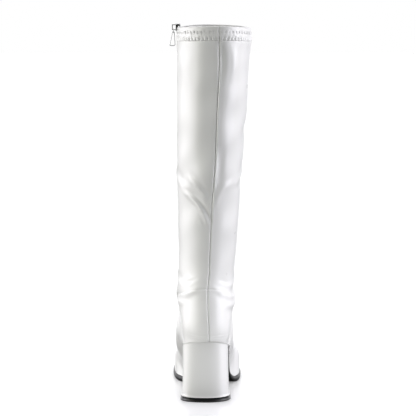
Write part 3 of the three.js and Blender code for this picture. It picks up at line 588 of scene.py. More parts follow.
# Creases: side they are seen from, width, height, side of the trough, where it is strongest, points as pairs in mm
CREASES = (
    (BACK, 2.5, 2.2, 1, 0.6, ((-31, 263), (-25, 259), (-17, 253), (-9, 245.5), (-3, 237), (0.8, 228), (2.5, 218))),
    (BACK, 3, 1.5, 1, 0.52, ((-24, 282), (-17.6, 276), (-11, 270), (-5, 263), (-0.7, 257), (1, 250))),
    (BACK, 4.4, 1.3, -1, 0.6, ((38, 276), (30, 271), (19.8, 264.3), (14, 255), (10.5, 240))),
    (BACK, 1.6, 0.7, 1, 0.5, ((-8, 226), (-4.5, 223), (-2.5, 219))),
    (BACK, 12, -1.7, 0, 0.5, ((8.5, 470), (7.5, 425), (4.5, 380), (3, 330), (-1, 280))),
    (BACK, 6, 0.8, 0, 0.5, ((-34, 436), (-28, 420), (-24, 402), (-26, 386))),
    (BACK, 5, -1.6, 0, 0.5, ((20, 320), (18.5, 300), (17, 282), (16, 262))),
    (BACK, 4.6, -2.1, 0, 0.46, ((14.5, 448), (18.5, 435), (20, 421), (19.2, 408), (15.5, 392))),
    (BACK, 3.4, 0.9, 0, 0.5, ((33, 440), (34.5, 424), (34, 408), (32, 392))),
    (BACK, 3.8, 0.62, 1, 0.45, ((0, 144.5), (-12.7, 139.5), (-20.1, 134.3), (-29, 127.3), (-38, 121))),
    (BACK, 3.8, 0.72, -1, 0.5, ((6, 143.5), (15.8, 138), (24.8, 131.3), (34, 126.5), (42, 124))),
    (BACK, 2.6, 0.38, 1, 0.5, ((-30, 141), (-19, 145), (-11.7, 150.1), (-5, 153.5))),
    (BACK, 2.2, 0.3, -1, 0.5, ((-26, 150.5), (-17, 153), (-9, 157.5))),
    (BACK, 2.8, 0.32, 1, 0.5, ((12, 150), (22, 145), (34, 139))),
    (BACK, 0.9, 0.35, 1, 0.5, ((-24, 84.5), (-8, 82.6), (8, 82.3), (28, 82))),
    (BACK, 0.8, 0.3, 1, 0.5, ((-20, 81.4), (-5, 80.2), (8, 79.9), (26, 78.6))),
    (INNER, 5, 1.3, 1, 0.5, ((-16, 263), (0, 270), (18, 280), (38, 289), (54, 292))),
    (INNER, 6, 1.2, 1, 0.5, ((58, 300), (40, 309), (22, 316), (4, 318))),
    (INNER, 4.5, 1.3, 1, 0.5, ((-20, 125.5), (-6, 121), (12, 121.5), (30, 130), (48, 144))),
    (INNER, 4.5, 1.1, 1, 0.5, ((-12, 146), (6, 145), (26, 154), (46, 168))),
    (OUTER, 5, 1.2, -1, 0.5, ((-14, 268), (4, 277), (24, 288), (46, 296))),
    (OUTER, 6, 1.1, -1, 0.5, ((60, 306), (42, 316), (22, 325), (2, 328))),
    (OUTER, 4.5, 1.3, -1, 0.5, ((-18, 121.5), (-4, 117.5), (14, 119), (34, 130), (52, 145))),
    (OUTER, 4.5, 1.1, -1, 0.5, ((-8, 143), (10, 143), (30, 154), (50, 170))),
    (FRONT, 6, 1.8, 1, 0.5, ((-30, 168), (-14, 161), (2, 159), (18, 162), (30, 169))),
    (FRONT, 6, 1.5, 1, 0.5, ((-30, 186), (-12, 180), (6, 179), (30, 187))),
    (FRONT, 7, 1.2, 1, 0.5, ((-28, 210), (-8, 203), (10, 203), (28, 211))),
    (FRONT, 7, 0.9, -1, 0.5, ((-26, 262), (-6, 270), (14, 271), (30, 264))),
    (FRONT, 5, 1.2, 1, 0.5, ((-28, 146), (-12, 141), (4, 140), (26, 146))),
)


def crease_height(rest, normals):
    """Sum of all creases at each point of the skin."""
    total = np.zeros(rest.shape[:-1])
    faces = {
        BACK: (rest[..., [0, 2]], -normals[..., 1]),
        FRONT: (rest[..., [0, 2]], normals[..., 1]),
        INNER: (rest[..., [1, 2]], -normals[..., 0]),
        OUTER: (rest[..., [1, 2]], normals[..., 0]),
    }
    for face, width, height, lean, peak, line in CREASES:
        plane, facing = faces[face]
        distance, along = line_distance(plane, smooth_line(line))
        skewed = np.clip(along, 0, 1) ** (math.log(0.5) / math.log(peak))
        fade = np.sin(np.pi * skewed) ** 0.8 * ease(0.0, 0.3, facing)
        ridge = np.exp(-((distance / width) ** 2))
        trough = np.exp(-(((distance - lean * width * TROUGH_AWAY) / (width * TROUGH_WIDTH)) ** 2))
        total = total + height * fade * (ridge - TROUGH_DEPTH * abs(lean) * trough)
    return total


STITCH_PITCH = 5.1
STITCH_LOW, STITCH_HIGH = 0.33, 0.9
HEM_ROW = 0.62


def row_arcs(place, count):
    """Angles round a row from the back seam, and the length along it at each."""
    angles = np.linspace(-math.pi, math.pi, count)
    return angles, lengths_along(skin(np.full(angles.shape, place), angles))


HEM_ANGLES, HEM_ARCS = row_arcs(HEM_ROW, 1001)


def zigzag(arc):
    """Share of the stitch band's height at a length along the hem."""
    return np.abs((arc / STITCH_PITCH) % 1 * 2 - 1)


def seam_speed(place):
    """Length along a row for each unit of angle, beside the back seam."""
    return np.linalg.norm(skin(place, math.pi - 0.05) - skin(place, math.pi), axis=-1) / 0.05


def seam_distance(place, angle):
    """Length along a row from the back seam, above 0 on the outer side."""
    return np.where(angle < 0, 1, -1) * (math.pi - np.abs(angle)) * seam_speed(place)


# Millimetres down the boot in one place, at the ankle seam and in the hem, and the shaft's mean radius
MEAN_RADIUS = 45
ROW_LENGTH = 12.0
HEM_ROW_LENGTH = 17.5
# Groove of the back seam, and of the ankle seam with its deeper part at the back seam: half-width, depth
GROOVE_HALF, GROOVE_DEPTH = 0.78, 1.5
ANKLE_GROOVE_HALF, ANKLE_GROOVE_DEPTH, ANKLE_GROOVE_MORE, ANKLE_GROOVE_REACH = 0.7, 0.12, 0.7, 10
# Allowances beside the back seam, outer and inner side: where each rises and falls, height
OUTER_STRIP, INNER_STRIP = (0.7, 1.3, 3.3, 4.3, 0.4), (0.6, 1.2, 2.0, 2.6, 0.18)
SWELL_HEIGHT, SWELL_SIZE, SLOW_HEIGHT, SLOW_SIZE = 0.16, 7.0, 0.65, 60.0
SLIT_CALM, SLIT_REACH = 0.75, 0.17  # how much of the relief goes beside the zip's slit, and how far round
# Pockets under the zigzag: place, shift along the hem as a share of the pitch, depth, height
POCKETS = ((0.86, 0.5, 0.95, 1.9), (0.47, 0.0, 0.5, 1.6))
POCKET_SLANT = 0.35


# The hem's lower edge turns in just past its seam, over the shell
HEM_OVERLAP, HEM_END, HEM_TUCK = 0.12, 0.05, 0.35
SOFT = 0.6  # share of the plain solid's steps that the finished surface keeps


def soft_stand_out(place):
    """The hem band and the shoe part stand out by soft steps, as cloth does."""
    hem = SOFT * HEM_STEP * ease(RIM_START, 1, place / HEM_PLACE)
    hem = hem * ease(HEM_PLACE + HEM_END, HEM_PLACE - 0.06, place)
    shoe = SOFT * SEAM_STEP * (1 - ease(0, SEAM_FADE, place - SEAM_PLACE))
    return hem + shoe * ease(SEAM_PLACE - 0.05, SEAM_PLACE + 0.22, place)


def strip(distance, sizes):
    """A low flat strip beside a seam."""
    rise, flat, edge, end, height = sizes
    return height * (ease(rise, flat, distance) - ease(edge, end, distance))


def relief(place, angle, rest, normals):
    """Everything that the surface of the upper stands in or out by, past its plain shape."""
    height = soft_stand_out(place) + crease_height(rest, normals)
    d = seam_distance(place, angle)
    on_back = ease(20.6, 19.6, place)
    below_hem = ease(HEM_PLACE, HEM_PLACE + 0.3, place)
    low = ease(335, 290, rest[..., 2])
    sharp = mix(np.exp(-((d / 12) ** 2)), np.exp(-np.abs(d) / 7.5), low)
    crest = np.where(d > 0, sharp, np.exp(-((d / 24) ** 2)))
    height = height + on_back * (0.5 + mix(0.3, 1.1, low) * below_hem) * crest
    height = height - on_back * GROOVE_DEPTH * np.exp(-((d / GROOVE_HALF) ** 2))
    height = height + strip(d, OUTER_STRIP) * ease(14.0, 4.0, place) * below_hem
    height = height + strip(-d, INNER_STRIP) * on_back * ease(8.0, 13.0, place)
    # Ankle seam: a fine groove, deepest at the back seam
    off = (place - SEAM_PLACE) * ROW_LENGTH
    groove = ANKLE_GROOVE_DEPTH + ANKLE_GROOVE_MORE * np.exp(-((d / ANKLE_GROOVE_REACH) ** 4))
    height = height - groove * np.exp(-((off / ANKLE_GROOVE_HALF) ** 2))
    # Pockets that the zigzag pulls into the hem, a deep row and a shallow one
    arc = np.interp(angle, HEM_ANGLES, HEM_ARCS)
    for middle, shift, depth, tall in POCKETS:
        across = ((arc / STITCH_PITCH + shift) % 1 - 0.5) * STITCH_PITCH
        up = (place - middle) * HEM_ROW_LENGTH
        slanted = across + POCKET_SLANT * np.sign(d) * up
        height = height - depth * np.exp(-(slanted**2) - (up / tall) ** 2)
    swell = ease(0.1, 0.35, place) * ease(1.0, 0.8, place)
    height = height + SWELL_HEIGHT * swell * smooth_noise(arc, place * HEM_ROW_LENGTH, 5, SWELL_SIZE)
    round_arc = np.where(angle < 0, -1, 1) * (math.pi - np.abs(angle)) * MEAN_RADIUS
    slow = smooth_noise(round_arc, rest[..., 2], 11, SLOW_SIZE)
    height = height + SLOW_HEIGHT * slow * ease(HEM_PLACE, HEM_PLACE + 2, place) * ease(26, 20, place)
    near_slit = np.exp(-(((angle - ZIP_ANGLE) / SLIT_REACH) ** 2)) * ease(ZIP_END + 0.5, ZIP_END, place)
    return height * (1 - SLIT_CALM * near_slit)


def surface(place, angle, lift=0.0):
    """Points of the upper's finished outside and the plain skin's normals."""
    place, angle = np.broadcast_arrays(np.asarray(place, float), np.asarray(angle, float))
    rest, normals = skin(place, angle), skin_normal(place, angle)
    return rest + normals * (relief(place, angle, rest, normals) + lift)[..., None], normals


RIM_TURNS = 7


def rim_roll(outer_ring, normals, thick):
    """Rings that carry the rim over its top and down to the inside."""
    middle = outer_ring - normals * (thick / 2)
    rings = []
    for k in range(1, RIM_TURNS + 1):
        turn = math.pi * k / RIM_TURNS
        up = np.array([0, 0, thick / 2 * math.sin(turn)])
        rings.append(middle + normals * (thick / 2 * math.cos(turn)) + up)
    return rings


def without_slit(faces, columns, start, rows):
    """A grid's faces without those over the zip, which begin at one column and run down some rows."""
    row, column = np.divmod(np.arange(len(faces)), columns - 1)
    return faces[~((column >= start) & (column < start + ZIP_COLUMNS) & (row < rows))]


# The slit's edge turned in: steps across to the zip, and inward
LIP = ((0.0, 0.0), (0.35, 0.15), (0.45, 0.6), (0.3, 1.5))
NEARLY = 1e-4


def upper_part(name, places, front, rear, outer, closed_rim):
    """A stretch of the upper's outside, with the lips of the zip's slit and either its rim or its toe."""
    angles = upper_angles(places, front, rear, outer)
    grid, columns = np.broadcast_to(places[:, None], angles.shape), angles.shape[1]
    points, normals = surface(grid, angles)
    rings = points
    if closed_rim:
        points[0, :, 2] -= 0.9
        rolled = rim_roll(points[0], normals[0], RIM_THICKNESS)
        inside_places = np.linspace(0.04, HEM_PLACE, 10)[:, None]
        inside_angles = upper_angles(inside_places[:, 0], front, rear, outer)
        depth = np.full((10, 1, 1), WALL + 0.05)
        inside = skin(inside_places, inside_angles) - skin_normal(inside_places, inside_angles) * depth
        points[-1] -= normals[-1] * HEM_TUCK
        rings = np.concatenate([inside[::-1], np.array(rolled[::-1]), points])
    else:
        under = soft_stand_out(places) + HEM_TUCK
        under = np.where(places < HEM_PLACE + HEM_END - 0.005, under, 0.0)
        points -= normals * under[:, None, None]
    count = len(rings) - len(points)
    faces = grid_faces(len(rings), columns)
    slit_start = outer + front
    rows = int(np.searchsorted(places, ZIP_END - NEARLY)) + 1
    faces = without_slit(faces, columns, slit_start, rows + count - 1)[:, ::-1]
    everything = [rings.reshape(-1, 3)]
    start = len(everything[0])
    # The slit's edges turn in by the wall's thickness
    rows = min(rows, len(points))
    across = unit(points[:rows, slit_start + ZIP_COLUMNS] - points[:rows, slit_start])
    for column_index, way in ((slit_start, 1.0), (slit_start + ZIP_COLUMNS, -1.0)):
        edge, out = points[:rows, column_index], normals[:rows, column_index]
        lip = np.stack([edge + across * way * over - out * inward for over, inward in LIP], axis=1)
        lip_faces = grid_faces(rows, len(LIP), start)
        everything.append(lip.reshape(-1, 3))
        faces = np.vstack([faces, lip_faces if way > 0 else lip_faces[:, ::-1]])
        start += rows * len(LIP)
    if not closed_rim:
        # The toe closes on a small rounded cap
        tip = points[-1]
        centre = np.array([tip[:, 0].mean(), tip[:, 1].max() + 0.3, tip[:, 2].min()])
        shares = (0.0, 0.35, 0.7, 1.0)
        everything += [mix(tip, centre, t) + np.array([0, 0.4 * math.sin(t * math.pi / 2), 0]) for t in shares]
        faces = np.vstack([faces, grid_faces(len(shares), columns, start)[:, ::-1]])
    piece = new_piece(name, np.vstack(everything), faces, COATED)
    tidy_mesh(piece, 0.02, outward=False)
    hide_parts("upper")


# Columns of the mesh before the slit, behind it and on the outer side
SHELL_COLUMNS, HEM_COLUMNS, LINING_COLUMNS = (54, 46, 96), (150, 130, 270), (26, 20, 46)


def make_upper():
    places = upper_rows()
    upper_part("upper_shell", places[places > HEM_PLACE - HEM_OVERLAP], *SHELL_COLUMNS, False)


def make_hem():
    """The hem band, with points close enough for its stitches."""
    low_edge = HEM_PLACE + np.linspace(-0.055, HEM_END, 6)
    places = np.concatenate([np.linspace(0, HEM_PLACE - 0.08, 26), low_edge])
    upper_part("upper_hem", places, *HEM_COLUMNS, True)


def make_lining():
    first = HEM_PLACE - 0.25
    upper_half, lower_half = np.linspace(first, 13, 60), np.linspace(13, LAST - 0.4, 90)
    places = np.unique(np.concatenate([upper_half, lower_half, [ZIP_END]]))
    front, rear, outer = LINING_COLUMNS
    angles = upper_angles(places, front, rear, outer)
    grid = places[:, None]
    rest, normals = skin(grid, angles), skin_normal(grid, angles)
    sunk = np.minimum(relief(np.broadcast_to(grid, angles.shape), angles, rest, normals), 0)
    points = rest + normals * (sunk - WALL + 0.25)[..., None]
    points[..., 2] = np.maximum(points[..., 2], edge_height(points[..., 1]) + FIT)
    columns = angles.shape[1]
    rows = np.searchsorted(places, ZIP_END - NEARLY)
    faces = without_slit(grid_faces(len(places), columns), columns, outer + front, rows)
    piece = new_piece("upper_lining", points.reshape(-1, 3), faces, LINING)
    tidy_mesh(piece, 0.02, outward=False)
    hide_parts("upper")


def lower_lines(count):
    """Places along the foot for the cross lines of the pieces under it, close together at both round ends."""
    start = HEEL_BACK + OUTLINE[0][0] * FOOT_LENGTH
    end = HEEL_BACK + FOOT_LENGTH
    bend = 1 - np.cos(np.linspace(0, math.pi / 2, 22))
    lines = [start + bend * HEEL_ROUND * FOOT_LENGTH, end - bend * TOE_ROUND * FOOT_LENGTH]
    lines.append(np.linspace(start + HEEL_ROUND * FOOT_LENGTH, end - TOE_ROUND * FOOT_LENGTH, count))
    return np.unique(np.round(np.concatenate(lines), 4))


def edge_loop(start, end, count=70):
    lines = lower_lines(count)
    lines = np.concatenate([[start], lines[(lines > start + 0.3) & (lines < end - 0.05)], [end]])
    inner, outer = edge_sides(lines)
    left = np.stack([inner, lines], -1)
    right = np.stack([outer, lines], -1)[::-1]
    if outer[-1] - inner[-1] < 0.01:
        right = right[1:]
    if outer[0] - inner[0] < 0.01:
        right = right[:-1]
    return np.vstack([left, right])


def moved(loop, distance):
    """A closed outline moved out by a distance at each point."""
    along = unit(np.roll(loop, -1, axis=0) - np.roll(loop, 1, axis=0))
    out = np.stack([-along[:, 1], along[:, 0]], -1)
    return loop + out * np.broadcast_to(distance, len(loop))[:, None]


def at_edge(loop, lift):
    return np.column_stack([loop, edge_height(loop[:, 1]) + lift])


def stack_piece(name, layers, material):
    """A closed solid through closed outlines of the same number of points, its ends filled across."""
    layers = [np.asarray(layer, float) for layer in layers]
    count = len(layers[0])
    points = np.vstack(layers)
    faces = list(grid_faces(len(layers), count, closed=True))
    for start in (0, (len(layers) - 1) * count):
        low, high = 0, count - 1
        while high - low > 1:
            faces.append((start + low, start + high, start + low + 1))
            low += 1
            if high - low > 1:
                faces.append((start + low, start + high, start + high - 1))
                high -= 1
    piece = new_piece(name, points, faces, material)
    tidy_mesh(piece, 0.001)
    return piece


def make_insole():
    loop = edge_loop(lower_lines(70)[0], HEEL_BACK + FOOT_LENGTH)
    sizes = ((0.3, 0.0), (0.0, 0.4), (0.0, INSOLE_THICKNESS - 0.7), (0.7, INSOLE_THICKNESS))
    layers = [at_edge(moved(loop, -INSOLE_INSET - inset), FIT + up) for inset, up in sizes]
    piece = stack_piece("insole_board", layers, LINING)
    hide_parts("insole")


# Sole's side from its top face down: share of its thickness, share of the margin past the upper
SOLE_SIDE = (
    (0.0, -0.6), (0.0, 0.25), (0.03, 0.42), (0.2, 0.45), (0.235, 0.6), (0.26, 0.86), (0.31, 0.98), (0.42, 1.03),
    (0.56, 1.0), (0.7, 0.95), (0.82, 0.86), (0.9, 0.72), (0.95, 0.55), (0.98, 0.38), (1.0, 0.1),
)


def make_outsole():
    ball = HEEL_BACK + 0.55 * FOOT_LENGTH
    loop = edge_loop(BREAST + FIT, HEEL_BACK + FOOT_LENGTH, 90)
    margin = mix(WAIST_MARGIN, 1.0, ease(BREAST, ball, loop[:, 1])) * SOLE_MARGIN
    layers = []
    for down, out in SOLE_SIDE:
        outline = moved(loop, margin * out)
        outline[:, 1] = np.maximum(outline[:, 1], BREAST + FIT)
        layers.append(at_edge(outline, -down * SOLE_THICKNESS))
    piece = stack_piece("sole_unit", layers, SOLE_RUBBER)
    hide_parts("outsole")


RIB_SPAN, RIB_PITCH, RIB_INSET, RIB_CLEAR = (98.0, 176.0), 4.2, 6, 0.02
RIB_SIDE = ((-1.1, 0.2), (-0.7, -0.02), (0.7, -0.02), (1.1, 0.2))


def make_tread():
    """Low ribs across the forefoot, held just inside the sole's floor face."""
    points, faces = [], []
    for y in np.arange(*RIB_SPAN, RIB_PITCH):
        inner, outer = (float(v) for v in edge_sides(y))
        inner, outer = inner + RIB_INSET, outer - RIB_INSET
        bottom = float(edge_height(y)) - SOLE_THICKNESS
        start = len(points)
        for x in (inner, outer):
            points += [(x, y + dy, bottom + dz + RIB_CLEAR) for dy, dz in RIB_SIDE]
        for k in range(3):
            faces.append((start + k, start + k + 1, start + k + 5, start + k + 4))
    new_piece("sole_ribs", points, faces, SOLE_RUBBER, smooth=False)


def heel_side(back, front, width, corner_share):
    corner = (front - back) * corner_share
    turn = np.linspace(0, math.pi / 2, 30)
    power = 2 / HEEL_CORNER_POWER
    x = width / 2 * np.sin(turn) ** power
    y = back + corner * (1 - np.cos(turn) ** power)
    share = np.linspace(0, 1, 16)[1:]
    x = np.concatenate([x, width / 2 * (1 - 0.02 * share)])
    return np.column_stack([x, np.concatenate([y, mix(back + corner, front, share)])])


def heel_loop(back, front, width):
    """Outline of the heel: round back corners, and small round corners at its front face."""
    outer = heel_side(back, front, width, HEEL_CORNER_OUTER)
    inner = heel_side(back, front, width, HEEL_CORNER_INNER) * np.array([-1, 1])
    return np.vstack([outer, inner[1:][::-1]])


# The cover's rounded ends and slight waist: share of the height, radius below, radius above, share of the width
HEEL_EDGE, HEEL_FOOT_ROUND, HEEL_TOP_ROUND, HEEL_WAIST = 0.025, 1.2, 0.9, 0.012


def make_heel():
    top = heel_loop(HEEL_BACK + 0.4, BREAST, HEEL_TOP_WIDTH)
    foot = heel_loop(HEEL_BACK, HEEL_BACK + HEEL_DEPTH, HEEL_WIDTH)
    layers = []
    shares = np.concatenate([[0.0, 0.004, 0.012, 0.025], np.linspace(0.05, 0.95, 26), [0.975, 0.988, 0.996, 1.0]])
    for share in shares:
        foot_end, top_end = min(share / HEEL_EDGE, 1), min((1 - share) / HEEL_EDGE, 1)
        ends = HEEL_FOOT_ROUND * (1 - round_end(foot_end, 2)) + HEEL_TOP_ROUND * (1 - round_end(top_end, 2))
        loop = moved(mix(foot, top, share), -ends) * np.array([1 - HEEL_WAIST * math.sin(math.pi * share), 1.0])
        height = mix(TOP_PIECE_HEIGHT, edge_height(top[:, 1]), share)
        layers.append(np.column_stack([loop, height]))
    piece = stack_piece("heel_block", layers, HEEL_COVER)
    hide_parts("heel")


# Top piece's side from the floor up: how far out past the heel's outline, height
TOP_PIECE_SIDE = (
    (-2.0, 0.0), (-1.3, 0.05), (-0.6, 0.35), (-0.2, 0.8), (0.0, 1.5), (0.0, 4.6), (-0.25, 5.2), (-0.7, 5.35),
)


def make_top_piece():
    loop = heel_loop(HEEL_BACK, HEEL_BACK + HEEL_DEPTH, HEEL_WIDTH)
    layers = [np.column_stack([moved(loop, out), np.full(len(loop), z)]) for out, z in TOP_PIECE_SIDE]
    piece = stack_piece("heel_lift", layers, SOLE_RUBBER)
    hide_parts("top_piece")


def zip_frames(step, start=0.0, end=ZIP_LENGTH):
    """Points down the zip with the direction across (to the heel), the outward direction and the way down."""
    runs = np.arange(start, end, step)
    places = np.interp(runs, RUN_LENGTHS, RUN_PLACES)
    centre = skin(places, ZIP_ANGLE)
    out = skin_normal(places, np.full(places.shape, ZIP_ANGLE))
    down = unit(skin(places + 0.02, ZIP_ANGLE) - skin(places - 0.02, ZIP_ANGLE))
    across = unit(np.cross(out, down))
    if across[0][1] > 0:
        across = -across
    return centre, across, out, down


def capsules(name, items, material, sides=6, flat=1.0):
    """Short rounded bars: each item has its middle, half-length vector, side and out directions, and radius."""
    profile = ((-1.0, 0.25), (-0.86, 0.75), (-0.5, 1.0), (0.5, 1.0), (0.86, 0.75), (1.0, 0.25))
    points, faces = [], []
    for middle, half, side, out, radius in items:
        start = len(points)
        for along, wide in profile:
            for k in range(sides):
                turn = 2 * math.pi * k / sides
                away = side * math.cos(turn) + out * (math.sin(turn) * flat)
                points.append(middle + half * along + away * radius * wide)
        last = start + (len(profile) - 1) * sides
        faces += list(grid_faces(len(profile), sides, start, closed=True))
        faces += [range(start, start + sides)[::-1], range(last, last + sides)]
    return new_piece(name, points, faces, material)


def make_chain():
    centre, across, out, down = zip_frames(0.8, start=5.2, end=ZIP_LENGTH - 3)
    items = []
    for i in range(len(centre)):
        side = 1.0 if i % 2 else -1.0
        middle = centre[i] + across[i] * side * 1.05 - out[i] * 0.42
        items.append((middle, across[i] * 1.35, down[i], out[i], 0.5))
    teeth = capsules("zip_teeth_rows", items, ZIP_TEETH, flat=0.85)
    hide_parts("zip_chain")
    centre, across, out, down = zip_frames(6.0, start=4.8, end=ZIP_LENGTH + 3)
    shape = ((-3.4, -1.1), (-2.4, -0.75), (0.0, -0.7), (2.4, -0.75), (3.4, -1.1), (3.4, -1.5), (-3.4, -1.5))
    layers = [np.array([c + a * x + o * z for x, z in shape]) for c, a, o in zip(centre, across, out)]
    base = stack_piece("zip_chain_base", layers, ZIP_TAPE)
    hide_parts("zip_chain")


def slider_axes():
    front, back = (skin(np.array([0.0]), a * math.pi / 21)[0] for a in (11, 12))
    centre = (front + back) / 2
    across = unit(back - front)
    out = skin_normal(np.array([0.0]), np.array([ZIP_ANGLE]))[0]
    out = unit(out - across * (out @ across))
    up = unit(np.cross(out, across))
    return centre, across, out, up if up[2] > 0 else -up


SLIDER_CENTRE, SLIDER_ACROSS, SLIDER_OUT, SLIDER_UP = slider_axes()


def at_slider(across, out, up):
    return SLIDER_CENTRE + SLIDER_ACROSS * across + SLIDER_OUT * out + SLIDER_UP * up


def copy_rounded(name, node, material, body, width):
    """A copy of a solid with its edges rounded."""
    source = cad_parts[node]
    piece = placed(name, source.data.copy())
    piece.data.materials.clear()
    piece.data.materials.append(material)
    tidy_mesh(piece, 0.01)
    bevel = piece.modifiers.new("edge", "BEVEL")
    bevel.width = width * MM
    bevel.segments = 3
    bevel.limit_method = "ANGLE"
    bevel.angle_limit = math.radians(35)
    for polygon in piece.data.polygons:
        polygon.use_smooth = True
    normals = piece.modifiers.new("normals", "WEIGHTED_NORMAL")
    normals.keep_sharp = False
    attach(piece, body)
    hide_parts(node)


def tube(name, path, radius, material, body, sides=16):
    """A round wire through a closed path of points."""
    path = np.asarray(path, float)
    count = len(path)
    along = unit(np.roll(path, -1, axis=0) - np.roll(path, 1, axis=0))
    flat = unit(np.cross(path[count // 3] - path[0], path[2 * count // 3] - path[0]))
    side = unit(np.cross(along, flat))
    turn = np.linspace(0, 2 * math.pi, sides, endpoint=False)
    cos, sin = np.cos(turn)[None, :, None], np.sin(turn)[None, :, None]
    rings = path[:, None] + radius * (side[:, None] * cos + flat * sin)
    rings = np.concatenate([rings, rings[:1]])
    faces = grid_faces(count + 1, sides, closed=True)
    piece = new_piece(name, rings.reshape(-1, 3), faces, material, body)
    tidy_mesh(piece, 0.001)
    return piece


def closed_smooth(points, steps=8):
    points = np.asarray(points, float)
    count = len(points)
    out = []
    for i in range(count):
        a, b, c, d = (points[(i + k) % count] for k in (-1, 0, 1, 2))
        for t in np.arange(steps) / steps:
            out.append(spline(a, b, c, d, t))
    return np.array(out)


PLATE_LOW, PLATE_THICKNESS, CROWN_WINDOW, WIRE = 0.45, 1.1, 3.6, 0.9
LINK_OUT = PLATE_LOW + PLATE_THICKNESS + CROWN_WINDOW - WIRE / 2 - 0.2
LINK_UP = -2.6 + WIRE / 2 + 0.2
LINK_LENGTH, LINK_WIDTH, PULL_LENGTH, PULL_WIDTH = 4.6, 4.6, 17.0, 7.0


def make_link_and_pull():
    half, corner, low = LINK_WIDTH / 2 - WIRE / 2, 0.5, LINK_UP - LINK_LENGTH
    outline = (
        (-half + corner, LINK_UP), (half - corner, LINK_UP), (half, LINK_UP - corner), (half, low + corner),
        (half - corner, low), (-half + corner, low), (-half, low + corner), (-half, LINK_UP - corner),
    )
    path = closed_smooth([at_slider(across, LINK_OUT, up) for across, up in outline])
    link = tube("zip_link_wire", path, WIRE / 2, BRIGHT_METAL, "link")
    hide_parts("zip_link")
    eye = WIRE + 0.25
    length = PULL_LENGTH - eye
    outer, inner = PULL_WIDTH * 0.66, -PULL_WIDTH * 0.34
    outline = (
        (-eye, 0), (-eye * 0.7, eye * 0.75), (0, eye), (eye * 0.7, eye * 0.75), (eye, 0),
        (outer - 0.6, -length + 2.2), (outer - 0.5, -length + 0.9), (outer - 1.6, -length),
        (inner + 1.6, -length), (inner + 0.4, -length + 0.9), (inner + 0.3, -length + 2.2),
    )
    top = at_slider(0, LINK_OUT, LINK_UP - LINK_LENGTH)
    path = closed_smooth([top + np.array([-out, 0, down]) for out, down in outline], 6)
    pull = tube("zip_pull_loop", path, WIRE / 2, BRIGHT_METAL, "pull")
    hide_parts("zip_pull")


# Threads: radius, and how far the middle lies over the surface
HEM_THREAD, FINE_THREAD, TACK_THREAD = (0.3, 0.12), (0.26, -0.06), (0.3, -0.03)
ZIP_PITCH, ZIP_STITCH_GAP, SEAM_PITCH, SEAM_STITCH = 3.0, 2.6, 2.9, 2.0
BAR_TACKS = ((148.2, 3.6), (137.1, 4.2), (130.1, 3.0))  # height, length to the inner side of the back seam


def make_stitches():
    """Every row of thread on the upper, each stitch a short rounded bar pressed into the surface."""
    items = []

    def stitch(place_a, angle_a, place_b, angle_b, radius, lift):
        places, angles = np.array([place_a, place_b]), np.array([angle_a, angle_b])
        ends, normals = surface(places, angles)
        out = unit(normals.sum(axis=0))
        half = (ends[1] - ends[0]) / 2
        side = unit(np.cross(out, half))
        items.append((ends.mean(axis=0) + out * lift, half * 0.92, side, out, radius))

    # Zigzag around the hem
    total = HEM_ARCS[-1]
    marks = np.arange(0.0, total, STITCH_PITCH / 2)
    angles = np.interp(marks, HEM_ARCS, HEM_ANGLES)
    places = mix(STITCH_LOW, STITCH_HIGH, zigzag(marks))
    half_slit = float(slit_half_angle(np.array(HEM_ROW))) + 0.03
    for i in range(len(marks) - 1):
        if min(abs(angles[i] - ZIP_ANGLE), abs(angles[i + 1] - ZIP_ANGLE)) > half_slit:
            stitch(places[i], angles[i], places[i + 1], angles[i + 1], *HEM_THREAD)
    # One row beside each edge of the zip
    marks = np.interp(np.arange(ZIP_PITCH, ZIP_LENGTH, ZIP_PITCH), RUN_LENGTHS, RUN_PLACES)
    for way in (-1, 1):
        row = ZIP_ANGLE + way * slit_half_angle(marks) * (1 + ZIP_STITCH_GAP / (SLIT_WIDTH / 2))
        for i in range(len(row) - 1):
            stitch(marks[i] + 0.01, row[i], mix(marks[i], marks[i + 1], 0.72), row[i], *FINE_THREAD)
    # One row under the ankle seam
    row_place = SEAM_PLACE + 0.17
    sample, run = row_arcs(row_place, 2001)
    for mark in np.arange(1.2, run[-1] - 1.0, SEAM_PITCH):
        a, b = np.interp([mark, mark + SEAM_STITCH], run, sample)
        if min(abs(a - ZIP_ANGLE), abs(b - ZIP_ANGLE)) > half_slit:
            stitch(row_place, a, row_place, b, *FINE_THREAD)
    # Bar tacks across the back seam
    for height, left in BAR_TACKS:
        place = place_at_height(height)
        speed = float(seam_speed(place))
        stitch(place, math.pi - left / speed, place, math.pi - 0.6 / speed, *TACK_THREAD)
    capsules("thread_rows", items, THREAD, flat=0.8)


FLOOR_REACH = 12.0
FLOOR_GLOW = 0.2
# Painted shade: between these two places the floor's colour turns from white behind the boot to a pale blue-grey
# in front of it, for the light falling off towards the camera
FLOOR_BACK, FLOOR_FRONT = 0.12, -0.12
FLOOR_WHITE, FLOOR_PAINTED_SHADE = (0.985, 0.985, 0.985, 1), (0.9, 0.895, 0.93, 1)


